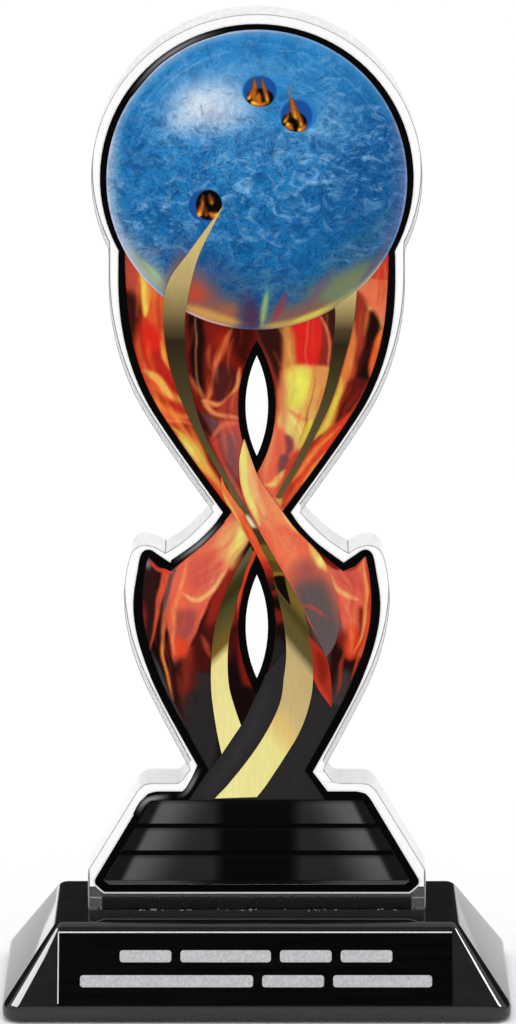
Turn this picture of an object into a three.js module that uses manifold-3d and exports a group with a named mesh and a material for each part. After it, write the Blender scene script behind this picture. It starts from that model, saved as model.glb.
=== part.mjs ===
// Bowling trophy: a cut-out clear acrylic plaque with colour printing on its front face,
// bonded into a slot in a weighted, hollow gloss-black base that carries an engraved plate.
// Units are millimetres, +Z is up, the front faces -Y, the origin is on the table under the middle.
import * as THREE from "three";
import { mergeVertices } from "three/addons/utils/BufferGeometryUtils.js";
import Module from "manifold-3d";

const wasm = await Module();
wasm.setup();

// ---- Driving dimensions ----
const GAP = 0.3; // clearance kept between neighbouring pieces
const BASE_WIDTH = 129;
const BASE_DEPTH = 56;
const BASE_TOP_WIDTH = 101.6;
const BASE_TOP_DEPTH = 34;
const BASE_TOP = 23; // height of the base's top face
const RIM_TOP = 3.8; // top of the upright rim round the foot of the base
const SHELL_FOOT = 0.5; // the moulding stops this far above the table
const WALL = 2.6; // wall of the moulded shell
const EDGE_RADIUS = 1.4; // soft edges of the moulding
const CORNER_FOOT = 4.8; // upright corners of the moulding at its foot and at its top, seen from above
const CORNER_TOP = 2;
const CORNER_STEPS = 10;
const OPENING_WIDTH = 121.6; // opening in the underside
const OPENING_DEPTH = 48.6;

const ACRYLIC = 12.5; // thickness of the plaque
const TAB_WIDTH = 80;
const TAB_FOOT = 11.6;
const SLOT_FLOOR = 10.6;
const SLOT_CLEAR = 0.35;
const POCKET_WALL = 2.4;

const HEAD_RADIUS = 40.9; // round head of the plaque
const HEAD_CENTRE = 213.3;
const LINE_RADIUS = 38.7; // outside of the printed black outline round the ball
const LINE_CENTRE = 213.1;
const BALL_HALF_WIDTH = 37.1;
const BALL_HALF_HEIGHT = 37.7;
const BALL_CENTRE = 212.7;
const WAIST = 128; // height where the two printed arms cross
const HALO = 0.45; // white ink showing past the black outline

const INK = 0.12; // thickness of one printed layer
const INK_GAP = 0.05;

const PLATE_WIDTH = 100;
const PLATE_HEIGHT = 18.8;
const PLATE_THICK = 0.6;
const TAPE_THICK = 0.2;
const TAPE_MARGIN = 2;
const PLATE_CENTRE_HEIGHT = 12.8;
const PLATE_SHIFT = -0.5; // the plate sits a little left of centre

const FELT = 1.3;
const COVER_THICK = 1.6;
const SCREW_X = 51.5;
const SCREW_Y = 12.5;
const SCREW_RADIUS = 1.45;
const SCREW_HEAD_RADIUS = 2.8;
const SCREW_LENGTH = 9;
const BOSS_RADIUS = 3.6;
const BOSS_TOP = 14.6;

const WEIGHT_LENGTH = 88;
const WEIGHT_DEPTH = 8.8;
const WEIGHT_HEIGHT = 9.4;

// ---- Materials ----
const paint = (name, color, roughness, metalness, more = {}) =>
  new THREE.MeshStandardMaterial({ name, color, roughness, metalness, ...more });
const clearAcrylic = paint("clear_acrylic", 0xf4f7f8, 0.03, 0, { transparent: true, opacity: 0.35 });
const blackPlastic = paint("black_plastic", 0x0b0c0d, 0.12, 0);
const dullPlastic = paint("dull_plastic", 0x1c1d1e, 0.6, 0);
const steel = paint("steel", 0x8f9398, 0.35, 1);
const plateMetal = paint("plate_metal", 0x0a0a0a, 0.25, 0.6);
const tapeFoam = paint("tape_foam", 0xd9d8d2, 0.8, 0);
const glue = paint("glue", 0xdfe3e0, 0.2, 0);
const feltCloth = paint("felt_cloth", 0x141414, 0.95, 0);
const whiteInk = paint("white_ink", 0xf6f6f4, 0.5, 0);
const blackInk = paint("black_ink", 0x060606, 0.35, 0);
const ballInk = paint("ball_ink", 0x2f7dbf, 0.35, 0);
const flameInk = paint("flame_ink", 0xc8431f, 0.35, 0);
const goldInk = paint("gold_ink", 0xc8ad70, 0.35, 0);
const charcoalInk = paint("charcoal_ink", 0x2b2a2a, 0.35, 0);

// ---- Solids ----
function solid(geometry) {
  const bare = geometry.index ? geometry.toNonIndexed() : geometry.clone();
  bare.deleteAttribute("normal");
  bare.deleteAttribute("uv");
  const merged = mergeVertices(bare, 1e-4);
  const mesh = new wasm.Mesh({
    numProp: 3,
    vertProperties: merged.attributes.position.array,
    triVerts: new Uint32Array(merged.index.array),
  });
  return new wasm.Manifold(mesh);
}

function geometryOf(body) {
  const mesh = body.getMesh();
  const geometry = new THREE.BufferGeometry();
  geometry.setAttribute("position", new THREE.BufferAttribute(mesh.vertProperties, 3));
  geometry.setIndex(new THREE.BufferAttribute(mesh.triVerts, 1));
  geometry.computeVertexNormals();
  return geometry;
}

function box(width, depth, x, y, low, high) {
  const geometry = new THREE.BoxGeometry(width, depth, high - low);
  return solid(geometry.translate(x, y, (low + high) / 2));
}

function post(radius, x, y, low, high, sides = 20) {
  const geometry = new THREE.CylinderGeometry(radius, radius, high - low, sides);
  return solid(geometry.rotateX(Math.PI / 2).translate(x, y, (low + high) / 2));
}

// ---- Outlines, in the plaque's plane: x across, y up ----
const vec = ([x, y]) => new THREE.Vector2(x, y);
const spline = (points, each = 5) =>
  new THREE.SplineCurve(points.map(vec)).getPoints(each * (points.length - 1));
const line = (...points) => points.map(vec);

function arc(x, y, radiusX, radiusY, from, to, steps) {
  const rad = THREE.MathUtils.degToRad;
  const curve = new THREE.EllipseCurve(x, y, radiusX, radiusY, rad(from), rad(to), to < from);
  return curve.getPoints(steps);
}

// An outline from a right-hand edge that runs from top to bottom and its mirror image.
function mirrored(edge) {
  const left = edge.filter((p) => p.x > 1e-6).map((p) => new THREE.Vector2(-p.x, p.y));
  return tidy([...edge, ...left.reverse()]);
}

function tidy(points) {
  return points.filter((p, i) => p.distanceTo(points[(i + 1) % points.length]) > 1e-3);
}

// A clockwise outline made larger all round: each point moves along the bisector of its two
// edges, far enough for both edges to move by the distance.
function grown(points, distance) {
  const outward = (from, to) => new THREE.Vector2(from.y - to.y, to.x - from.x).normalize();
  return points.map((p, i) => {
    const before = outward(points[(i + points.length - 1) % points.length], p);
    const after = outward(p, points[(i + 1) % points.length]);
    const both = before.clone().add(after);
    return both.multiplyScalar(distance / (1 + before.dot(after))).add(p);
  });
}

// A pointed oval made of two equal arcs.
function lens(top, bottom, halfWidth, steps = 18) {
  const half = (top - bottom) / 2;
  const radius = (half * half + halfWidth * halfWidth) / (2 * halfWidth);
  const angle = THREE.MathUtils.radToDeg(Math.asin(half / radius));
  const middle = (top + bottom) / 2;
  return mirrored(arc(halfWidth - radius, middle, radius, radius, angle, -angle, steps));
}

// A flat piece cut from an outline, standing upright with its front face at y = front.
function panel(points, front, thickness) {
  const shape = new THREE.Shape(points);
  const geometry = new THREE.ExtrudeGeometry(shape, { depth: thickness, bevelEnabled: false });
  return solid(geometry.rotateX(Math.PI / 2).translate(0, front + thickness, 0));
}

const headCurve = (radius, centre, shoulder, steps) =>
  arc(0, centre, radius, radius, 90, -shoulder, steps);

function plaqueOutline() {
  return mirrored([
    ...headCurve(HEAD_RADIUS, HEAD_CENTRE, 25.9, 32),
    ...spline([
      [36.7, 193], [36.7, 184], [35.8, 175.4], [33.6, 166.2],
      [29.9, 157], [24.5, 147.8], [18.3, 138.5], [11, WAIST],
    ]),
    ...spline([[11, WAIST], [14, 124.6], [18.2, 120.6], [23, 117.3]]),
    ...spline([
      [23, 117.3], [25.3, 118.7], [28, 119.4], [30.6, 118.4], [32.3, 115], [33.5, 106],
      [32.5, 96.3], [29.8, 86.8], [25.6, 77.3], [17, 60.3],
    ]),
    ...spline([[19.2, 57.2], [20.6, 56.7], [26.5, 56.7], [28.9, 56.1], [30.6, 54.3]], 2),
    ...line([43, 33.4], [43.1, 32], [43.1, BASE_TOP + GAP], [TAB_WIDTH / 2, BASE_TOP + GAP]),
    ...line([TAB_WIDTH / 2, TAB_FOOT]),
  ]);
}

function lineOutline() {
  return mirrored([
    ...headCurve(LINE_RADIUS, LINE_CENTRE, 27.9, 32),
    ...spline([
      [34.3, 193], [34.3, 184], [33.5, 175.4], [31.4, 166.2],
      [27.7, 157], [22.1, 147.8], [15.8, 138.5], [8.5, WAIST],
    ]),
    ...spline([[8.5, WAIST], [11, 124.4], [15.4, 119.8], [21.8, 114.9]]),
    ...spline([
      [21.8, 114.9], [24.5, 116.8], [27, 118.3], [29, 117.2], [30, 112.8], [31.1, 104.5],
      [30.3, 96.3], [27.5, 86.8], [23.4, 77.3], [14.2, 59.8],
    ]),
    ...line([18, 54.6]),
    ...spline([[25.2, 54.6], [27.6, 54], [29, 52.4]], 2),
    ...spline([[41.2, 31.2], [41.2, 29.8], [38.9, 27.7]], 2),
  ]);
}

// Inside of the black outline, from the ball down to the pedestal.
function bodyOutline() {
  return mirrored([
    ...line([32.6, 194.5]),
    ...spline([
      [32.6, 190], [32.3, 184], [31.5, 175.4], [29.4, 166.2],
      [25.7, 157], [20.1, 147.8], [13.8, 138.5], [6.3, WAIST],
    ]),
    ...spline([[6.3, WAIST], [9.6, 123.9], [14.2, 119], [21.7, 112.7]]),
    ...line([24.7, 114]),
    ...spline([
      [27.3, 116.6], [28.3, 111.5], [28.8, 104.5],
      [28, 96.3], [25.2, 86.8], [21.1, 77.3], [12.2, 60.2],
    ]),
    ...line([17.3, 52.4]),
  ]);
}

const ballOutline = (inset) =>
  tidy(arc(0, BALL_CENTRE, BALL_HALF_WIDTH - inset, BALL_HALF_HEIGHT - inset, 360, 0, 96));

const pedestalOutline = (inset) =>
  mirrored(line([27.2 - inset, 51.8 - inset], [39 - inset, 30.7], [37.6 - inset, 29.7 + inset]));

const upperLens = (halfWidth, past) => lens(168.4 + past, 142.6 - past * 1.15, halfWidth);
const lowerLens = (halfWidth, past) => lens(111.8 + past * 1.2, 84.6 - past * 1.15, halfWidth);
const WINDOW_HALF = 2.8;
const WINDOW_LINE_HALF = 4.7;
const WINDOW_LINE_PAST = 3.9;

// Printed layers, counted forwards from the acrylic's front face.
const layerFront = (layer) => -ACRYLIC / 2 - layer * (INK + INK_GAP);
const printed = (points, layer) => panel(points, layerFront(layer), INK);

// ---- The plaque and its printing ----
function plaqueAcrylic() {
  return panel(plaqueOutline(), -ACRYLIC / 2, ACRYLIC);
}

function whiteUnderbase() {
  return printed(grown(lineOutline(), HALO), 1)
    .subtract(printed(upperLens(WINDOW_HALF, 0), 1))
    .subtract(printed(lowerLens(WINDOW_HALF, 0), 1));
}

function blackOutline() {
  return printed(lineOutline(), 2)
    .subtract(printed(ballOutline(0), 2))
    .subtract(printed(bodyOutline(), 2))
    .subtract(printed(pedestalOutline(0), 2));
}

function windowLine(window) {
  return printed(window(WINDOW_LINE_HALF, WINDOW_LINE_PAST), 2)
    .subtract(printed(window(WINDOW_HALF, 0), 2));
}

// The flame-filled body between two heights, clear of the ball and the windows.
function flames(top, bottom) {
  const band = box(120, 20, 0, 0, bottom, top);
  const clear = GAP / WINDOW_LINE_HALF;
  return printed(grown(bodyOutline(), -GAP), 2)
    .intersect(band)
    .subtract(printed(ballOutline(-GAP), 2))
    .subtract(printed(upperLens(WINDOW_LINE_HALF + GAP, WINDOW_LINE_PAST + 1 + clear), 2))
    .subtract(printed(lowerLens(WINDOW_LINE_HALF + GAP, WINDOW_LINE_PAST + 1 + clear), 2));
}

// A ribbon between a left-hand and a right-hand edge, both listed from top to bottom.
function ribbon(left, right) {
  return printed(tidy([...spline(right), ...spline(left).reverse()]), 3);
}

function goldUpperLeft() {
  const left = [
    [-8, 206.8], [-16.6, 195], [-22, 187], [-23.2, 178], [-22.2, 168],
    [-20, 160], [-16.8, 152], [-12.8, 144], [-8.1, 136], [-3.4, 127.6],
  ];
  const right = [
    [-8, 206.8], [-14.3, 194], [-17.3, 182], [-17.9, 174], [-17.1, 164],
    [-15.5, 156], [-12.9, 148], [-8.9, 140], [-4.4, 132], [-1.5, 127.2],
  ];
  return ribbon(left, right);
}

function goldUpperRight() {
  const left = [[19.4, 181], [19.4, 176], [17.9, 164], [15.9, 156], [12.8, 148], [9, 140], [4.7, 132]];
  const right = [[24.8, 185], [23.9, 176], [20.9, 164], [18.4, 156], [14.7, 148], [10.8, 140], [5.8, 131.5]];
  return ribbon(left, right);
}

function goldLowerLeft() {
  const left = [[-1.5, 119.4], [-6.4, 110.4], [-10.6, 98], [-11.6, 84], [-10.5, 73], [-8.9, 64.6]];
  const right = [[-0.4, 116], [-4, 107], [-7, 95], [-7.2, 84], [-5.6, 77], [-4, 72.2]];
  return ribbon(left, right);
}

function goldLowerRight() {
  const left = [
    [0.6, 122.6], [4.4, 110], [7.2, 96], [7, 86], [4.8, 78.6],
    [1.2, 71], [-2.4, 63.8], [-7.2, 56.6], [-11, 52.8],
  ];
  const right = [
    [1.8, 121.4], [8.4, 111], [13.8, 95], [14.2, 84], [13, 76.6],
    [10.6, 70], [6.8, 63.4], [2.4, 56.4], [0, 53.2],
  ];
  return ribbon(left, right);
}

// ---- The base ----
// A ring of a rectangle with rounded corners, anticlockwise seen from above.
function roundedRing(width, depth, radius, height, steps = 4) {
  const points = [];
  const corners = [[1, 1, 0], [-1, 1, 90], [-1, -1, 180], [1, -1, 270]];
  for (const [sideX, sideY, from] of corners) {
    const x = sideX * (width / 2 - radius);
    const y = sideY * (depth / 2 - radius);
    for (const p of arc(x, y, radius, radius, from, from + 90, steps)) points.push([p.x, p.y, height]);
  }
  return points;
}

// A closed skin over rings of equal length, from the lowest to the highest.
function loft(rings) {
  const count = rings[0].length;
  const positions = rings.flat(2);
  const index = [];
  rings.slice(1).forEach((_, level) => {
    for (let i = 0; i < count; i++) {
      const a = level * count + i;
      const b = level * count + ((i + 1) % count);
      index.push(a, b, b + count, a, b + count, a + count);
    }
  });
  const last = (rings.length - 1) * count;
  for (let i = 1; i < count - 1; i++) {
    index.push(0, i + 1, i);
    index.push(last, last + i, last + i + 1);
  }
  const geometry = new THREE.BufferGeometry();
  geometry.setAttribute("position", new THREE.Float32BufferAttribute(positions, 3));
  geometry.setIndex(index);
  return solid(geometry);
}

const slopeShare = (z) => (z - RIM_TOP) / (BASE_TOP - RIM_TOP);
const widthAt = (z) => BASE_WIDTH + (BASE_TOP_WIDTH - BASE_WIDTH) * slopeShare(z);
const depthAt = (z) => BASE_DEPTH + (BASE_TOP_DEPTH - BASE_DEPTH) * slopeShare(z);

// The outside of the moulding. Its upright corners are well rounded at the foot and tighter at the top.
function outerRings() {
  const soft = EDGE_RADIUS;
  const ring = (z, inset) => {
    const level = Math.max(z, RIM_TOP);
    const corner = CORNER_FOOT + (CORNER_TOP - CORNER_FOOT) * slopeShare(level);
    const [width, depth] = [widthAt(level) - inset * 2, depthAt(level) - inset * 2];
    return roundedRing(width, depth, corner - inset, z, CORNER_STEPS);
  };
  return [
    ring(SHELL_FOOT, 0.6),
    ring(SHELL_FOOT + 0.25, 0.18),
    ring(SHELL_FOOT + 0.7, 0),
    ring(RIM_TOP - 0.7, 0),
    ring(RIM_TOP, 0.18),
    ring(RIM_TOP + 0.9, 0.06),
    ring(BASE_TOP - soft, 0),
    ring(BASE_TOP - soft * 0.45, 0.12),
    ring(BASE_TOP - soft * 0.12, 0.5),
    ring(BASE_TOP, 1.1),
  ];
}

function baseShell() {
  const skew = 1.17; // a sloping wall is this much wider when measured level
  const inner = (z) => roundedRing(widthAt(z) - WALL * 2 * skew, depthAt(z) - WALL * 2 * skew, 1, z);
  const hollow = loft([inner(RIM_TOP + 0.4), inner(BASE_TOP - WALL)]);
  const opening = box(OPENING_WIDTH, OPENING_DEPTH, 0, 0, -1, RIM_TOP + 0.6);
  const slotWidth = TAB_WIDTH + SLOT_CLEAR * 2;
  const slotDepth = ACRYLIC + SLOT_CLEAR * 2;
  const pocketFoot = SLOT_FLOOR - POCKET_WALL;
  const pocket = box(
    slotWidth + POCKET_WALL * 2, slotDepth + POCKET_WALL * 2, 0, 0, pocketFoot, BASE_TOP - 1,
  );
  let shell = loft(outerRings()).subtract(hollow).subtract(opening).add(pocket);
  for (const [x, y] of screwPlaces()) {
    shell = shell
      .add(post(BOSS_RADIUS, x, y, coverTop() + GAP, BOSS_TOP))
      .subtract(post(SCREW_RADIUS + GAP / 2, x, y, 0, coverTop() + SCREW_LENGTH));
  }
  return shell.subtract(box(slotWidth, slotDepth, 0, 0, SLOT_FLOOR, BASE_TOP + 1));
}

const coverFoot = () => FELT + GAP;
const coverTop = () => coverFoot() + COVER_THICK;
const screwPlaces = () =>
  [[-1, -1], [1, -1], [-1, 1], [1, 1]].map(([x, y]) => [x * SCREW_X, y * SCREW_Y]);

function adhesiveBed() {
  return box(TAB_WIDTH - 2, ACRYLIC - 1.5, 0, 0, SLOT_FLOOR + 0.15, TAB_FOOT - 0.15);
}

function bottomCover() {
  const ring = (z) => roundedRing(OPENING_WIDTH - GAP * 2, OPENING_DEPTH - GAP * 2, 1, z);
  let cover = loft([ring(coverFoot()), ring(coverTop())]);
  for (const [x, y] of screwPlaces()) {
    const sink = new THREE.CylinderGeometry(
      SCREW_RADIUS + GAP, SCREW_HEAD_RADIUS + GAP, COVER_THICK + 0.02, 20,
    );
    sink.rotateX(Math.PI / 2).translate(x, y, (coverFoot() + coverTop()) / 2);
    cover = cover.subtract(solid(sink));
  }
  return cover;
}

function feltPad() {
  const ring = (z) => roundedRing(OPENING_WIDTH - 1.6, OPENING_DEPTH - 1.6, 1.5, z);
  return loft([ring(0), ring(FELT)]);
}

// A countersunk self-tapping screw, head down, with a cross recess.
function coverScrew() {
  const head = 1.5;
  const profile = [
    [0, 0], [SCREW_HEAD_RADIUS, 0], [SCREW_HEAD_RADIUS, 0.2], [SCREW_RADIUS, head],
    [SCREW_RADIUS, SCREW_LENGTH - 1.5], [0.3, SCREW_LENGTH], [0, SCREW_LENGTH],
  ];
  const body = solid(new THREE.LatheGeometry(profile.map(vec), 20).rotateX(Math.PI / 2));
  return body
    .subtract(box(2.6, 0.6, 0, 0, -1, 0.9))
    .subtract(box(0.6, 2.6, 0, 0, -1, 0.9));
}

function weightBar() {
  const foot = coverTop() + GAP;
  const top = foot + WEIGHT_HEIGHT;
  const edge = 0.5;
  const ring = (z, inset) =>
    roundedRing(WEIGHT_LENGTH - inset * 2, WEIGHT_DEPTH - inset * 2, 1.2, z, 3);
  return loft([ring(foot, edge), ring(foot + edge, 0), ring(top - edge, 0), ring(top, edge)]);
}

// ---- The engraved plate, lying flat: its back face is at z = 0 ----
function nameplate() {
  const bevel = 0.3;
  const ring = (z, inset) => {
    const x = PLATE_WIDTH / 2 - inset;
    const y = PLATE_HEIGHT / 2 - inset;
    return [[-x, -y, z], [x, -y, z], [x, y, z], [-x, y, z]];
  };
  return loft([ring(0, 0), ring(PLATE_THICK - bevel, 0), ring(PLATE_THICK, bevel)]);
}

// ---- Assembly ----
const trophy = new THREE.Group();
trophy.name = "bowling_trophy";

function place(parent, name, body, material) {
  const mesh = new THREE.Mesh(geometryOf(body), material);
  mesh.name = name;
  parent.add(mesh);
  return mesh;
}

place(trophy, "plaque_acrylic", plaqueAcrylic(), clearAcrylic);
place(trophy, "print_white_underbase", whiteUnderbase(), whiteInk);
place(trophy, "print_outline_black", blackOutline(), blackInk);
place(trophy, "print_window_line_upper", windowLine(upperLens), blackInk);
place(trophy, "print_window_line_lower", windowLine(lowerLens), blackInk);
place(trophy, "print_ball", printed(ballOutline(GAP), 2), ballInk);
place(trophy, "print_flames_upper", flames(BALL_CENTRE, WAIST + GAP / 2), flameInk);
place(trophy, "print_flames_lower", flames(WAIST - GAP / 2, 50), flameInk);
place(trophy, "print_ribbon_gold_upper_left", goldUpperLeft(), goldInk);
place(trophy, "print_ribbon_gold_upper_right", goldUpperRight(), goldInk);
place(trophy, "print_ribbon_gold_lower_left", goldLowerLeft(), goldInk);
place(trophy, "print_ribbon_gold_lower_right", goldLowerRight(), goldInk);
place(trophy, "print_pedestal", printed(pedestalOutline(GAP), 2), charcoalInk);

place(trophy, "base_shell", baseShell(), blackPlastic);
place(trophy, "slot_adhesive", adhesiveBed(), glue);
place(trophy, "bottom_cover", bottomCover(), dullPlastic);
place(trophy, "felt_pad", feltPad(), feltCloth);

const weightY = ACRYLIC / 2 + SLOT_CLEAR + POCKET_WALL + GAP + WEIGHT_DEPTH / 2;
place(trophy, "weight_bar_front", weightBar(), steel).position.y = -weightY;
place(trophy, "weight_bar_back", weightBar(), steel).position.y = weightY;

screwPlaces().forEach(([x, y], i) => {
  const screw = place(trophy, `cover_screw_${i + 1}`, coverScrew(), steel);
  screw.position.set(x, y, coverFoot() + 0.05);
});

const slope = Math.atan((BASE_DEPTH - BASE_TOP_DEPTH) / 2 / (BASE_TOP - RIM_TOP));
const plateGroup = new THREE.Group();
plateGroup.position.set(PLATE_SHIFT, -depthAt(PLATE_CENTRE_HEIGHT) / 2, PLATE_CENTRE_HEIGHT);
plateGroup.rotation.x = Math.PI / 2 - slope;
trophy.add(plateGroup);
const tapeFoot = 0.1;
const tape = box(
  PLATE_WIDTH - TAPE_MARGIN * 2, PLATE_HEIGHT - TAPE_MARGIN * 2, 0, 0, tapeFoot, tapeFoot + TAPE_THICK,
);
place(plateGroup, "nameplate_tape", tape, tapeFoam);
place(plateGroup, "nameplate", nameplate(), plateMetal).position.z = tapeFoot + TAPE_THICK + 0.05;

export default trophy;
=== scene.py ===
import math
import bpy
import bmesh
import numpy as np
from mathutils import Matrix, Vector


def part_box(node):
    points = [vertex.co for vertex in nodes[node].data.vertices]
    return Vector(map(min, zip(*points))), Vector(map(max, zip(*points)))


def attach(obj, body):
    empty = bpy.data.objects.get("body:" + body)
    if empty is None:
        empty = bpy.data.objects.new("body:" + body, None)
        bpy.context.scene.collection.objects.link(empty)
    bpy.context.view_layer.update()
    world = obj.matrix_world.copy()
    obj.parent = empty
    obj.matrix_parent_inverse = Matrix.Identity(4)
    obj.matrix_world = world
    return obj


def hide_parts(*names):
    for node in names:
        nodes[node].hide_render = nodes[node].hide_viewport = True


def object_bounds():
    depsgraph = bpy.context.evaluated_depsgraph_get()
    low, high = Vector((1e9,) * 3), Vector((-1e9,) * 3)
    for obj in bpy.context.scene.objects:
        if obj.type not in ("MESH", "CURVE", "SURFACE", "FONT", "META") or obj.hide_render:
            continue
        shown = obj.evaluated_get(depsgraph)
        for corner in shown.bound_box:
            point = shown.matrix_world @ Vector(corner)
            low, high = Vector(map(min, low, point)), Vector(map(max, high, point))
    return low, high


# Bowling trophy: a printed clear acrylic plaque in a gloss-black base. Blender works in metres; the
# printed picture is laid out in millimetres, x to the right and z up, on the plaque's front face.
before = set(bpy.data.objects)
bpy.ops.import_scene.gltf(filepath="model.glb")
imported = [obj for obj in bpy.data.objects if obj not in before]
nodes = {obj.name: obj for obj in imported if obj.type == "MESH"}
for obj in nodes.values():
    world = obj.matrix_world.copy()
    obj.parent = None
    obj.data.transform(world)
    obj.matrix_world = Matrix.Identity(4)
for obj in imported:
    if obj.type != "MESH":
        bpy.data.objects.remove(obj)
cad_low, cad_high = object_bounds()
scene = bpy.context.scene
MM = 0.001


def node_face(node, side):
    """The y of a CAD node's front (side 0) or back (side 1) face, in millimetres."""
    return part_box(node)[side].y / MM


def pairs(words):
    """Points from words such as "3,4 5,6"."""
    words = words.split() if isinstance(words, str) else words
    return [tuple(float(value) for value in word.split(",")) for word in words]


# ---- Outlines ----
WAIST = 128.0  # height where the two printed arms cross
BALL_CENTRE = (0.0, 212.7)
BALL_HALF = (37.1, 37.7)


def arc(centre, radius, start, end, steps):
    turn = np.radians(np.linspace(start, end, steps + 1))
    return np.column_stack([centre[0] + radius * np.cos(turn), centre[1] + radius * np.sin(turn)])


def spline(points, each=8, closed=False):
    """A smooth curve through the points (uniform Catmull-Rom)."""
    points = np.asarray(points, float)
    count = len(points)
    if closed:
        before, after, last = (np.roll(points, k, 0) for k in (1, -1, -2))
    else:
        before = points[[0, *range(count - 2)]]
        after, last = points[1:], points[[*range(2, count), count - 1]]
        points = points[:-1]
    t = np.linspace(0, 1, each, endpoint=False)[None, :, None]
    p0, p1, p2, p3 = (p[:, None, :] for p in (before, points, after, last))
    v0, v1 = (p2 - p0) / 2, (p3 - p1) / 2
    curve = (2 * p1 - 2 * p2 + v0 + v1) * t**3 + (3 * p2 - 3 * p1 - 2 * v0 - v1) * t**2 + v0 * t + p1
    curve = curve.reshape(-1, 2)
    return curve if closed else np.vstack([curve, after[-1:]])


def along(points, places):
    """Points at the given shares, 0 to 1, of the length of a smooth curve."""
    curve = spline(points, 10)
    run = np.concatenate([[0], np.cumsum(np.linalg.norm(np.diff(curve, axis=0), axis=1))])
    return np.column_stack([np.interp(places, run / run[-1], curve[:, k]) for k in (0, 1)])


def mirrored(*edges):
    """A closed outline from a right-hand edge, top to bottom, and its mirror image."""
    right = np.vstack(edges)
    left = right[right[:, 0] > 1e-6][::-1] * (-1, 1)
    outline = np.vstack([right, left])
    return outline[np.linalg.norm(outline - np.roll(outline, -1, 0), axis=1) > 1e-3]


def body_outline():
    """The flame-filled cup inside its black outline."""
    edges = [
        "32.6,190 32.3,184 31.5,175.4 29.4,166.2 25.7,157 20.1,147.8 13.8,138.5 6.3,128",
        "6.3,128 9.6,123.9 14.2,119 21.7,112.7",
        "21.7,112.7 24.9,113.9 27.3,116.6",
        "27.3,116.6 28.3,111.5 28.8,104.5 28,96.3 25.2,86.8 21.1,77.3 12.2,60.2",
    ]
    return mirrored([(32.6, 194.5)], *[spline(pairs(edge)) for edge in edges], [(17.3, 52.4)])


def lens(top, bottom, half_width, steps=24):
    """A pointed oval made of two equal arcs."""
    half = (top - bottom) / 2
    radius = (half**2 + half_width**2) / (2 * half_width)
    angle = math.degrees(math.asin(half / radius))
    return mirrored(arc((half_width - radius, (top + bottom) / 2), radius, angle, -angle, steps))


UPPER_WINDOW = lens(170, 141, 3.6)
LOWER_WINDOW = lens(114, 82.5, 3.6)

# ---- Painting: colours laid over the points of a flat sheet ----


def rgb(code):
    return np.array([int(code[i:i + 2], 16) for i in (1, 3, 5)]) / 255


def to_linear(colour):
    colour = np.asarray(colour, float)
    return np.where(colour <= 0.04045, colour / 12.92, ((colour + 0.055) / 1.055) ** 2.4)


def smooth(low, high, value):
    t = np.clip((value - low) / (high - low), 0, 1)
    return t * t * (3 - 2 * t)


def inside(outline, points):
    hit = np.zeros(len(points), bool)
    for (x0, z0), (x1, z1) in zip(outline, np.roll(outline, -1, 0)):
        if z0 != z1:
            between = (points[:, 1] > z0) != (points[:, 1] > z1)
            hit ^= between & (points[:, 0] < (x1 - x0) * (points[:, 1] - z0) / (z1 - z0) + x0)
    return hit


def nearest(route, points):
    """Distance from each point to a route of straight runs, and the share of the route passed there."""
    best, place = np.full(len(points), 1e9), np.zeros(len(points))
    spans = np.linalg.norm(np.diff(route, axis=0), axis=1)
    starts = np.concatenate([[0], np.cumsum(spans)])
    for a, b, span, start in zip(route[:-1], route[1:], spans, starts):
        t = np.clip((points - a) @ (b - a) / max(span**2, 1e-9), 0, 1)
        distance = np.linalg.norm(points - a - t[:, None] * (b - a), axis=1)
        closer = distance < best
        best[closer] = distance[closer]
        place[closer] = (start + t[closer] * span) / starts[-1]
    return best, place


def share_between(points, start, end):
    start, end = np.array(start, float), np.array(end, float)
    return smooth(0, 1, (points - start) @ (end - start) / ((end - start) ** 2).sum())


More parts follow.
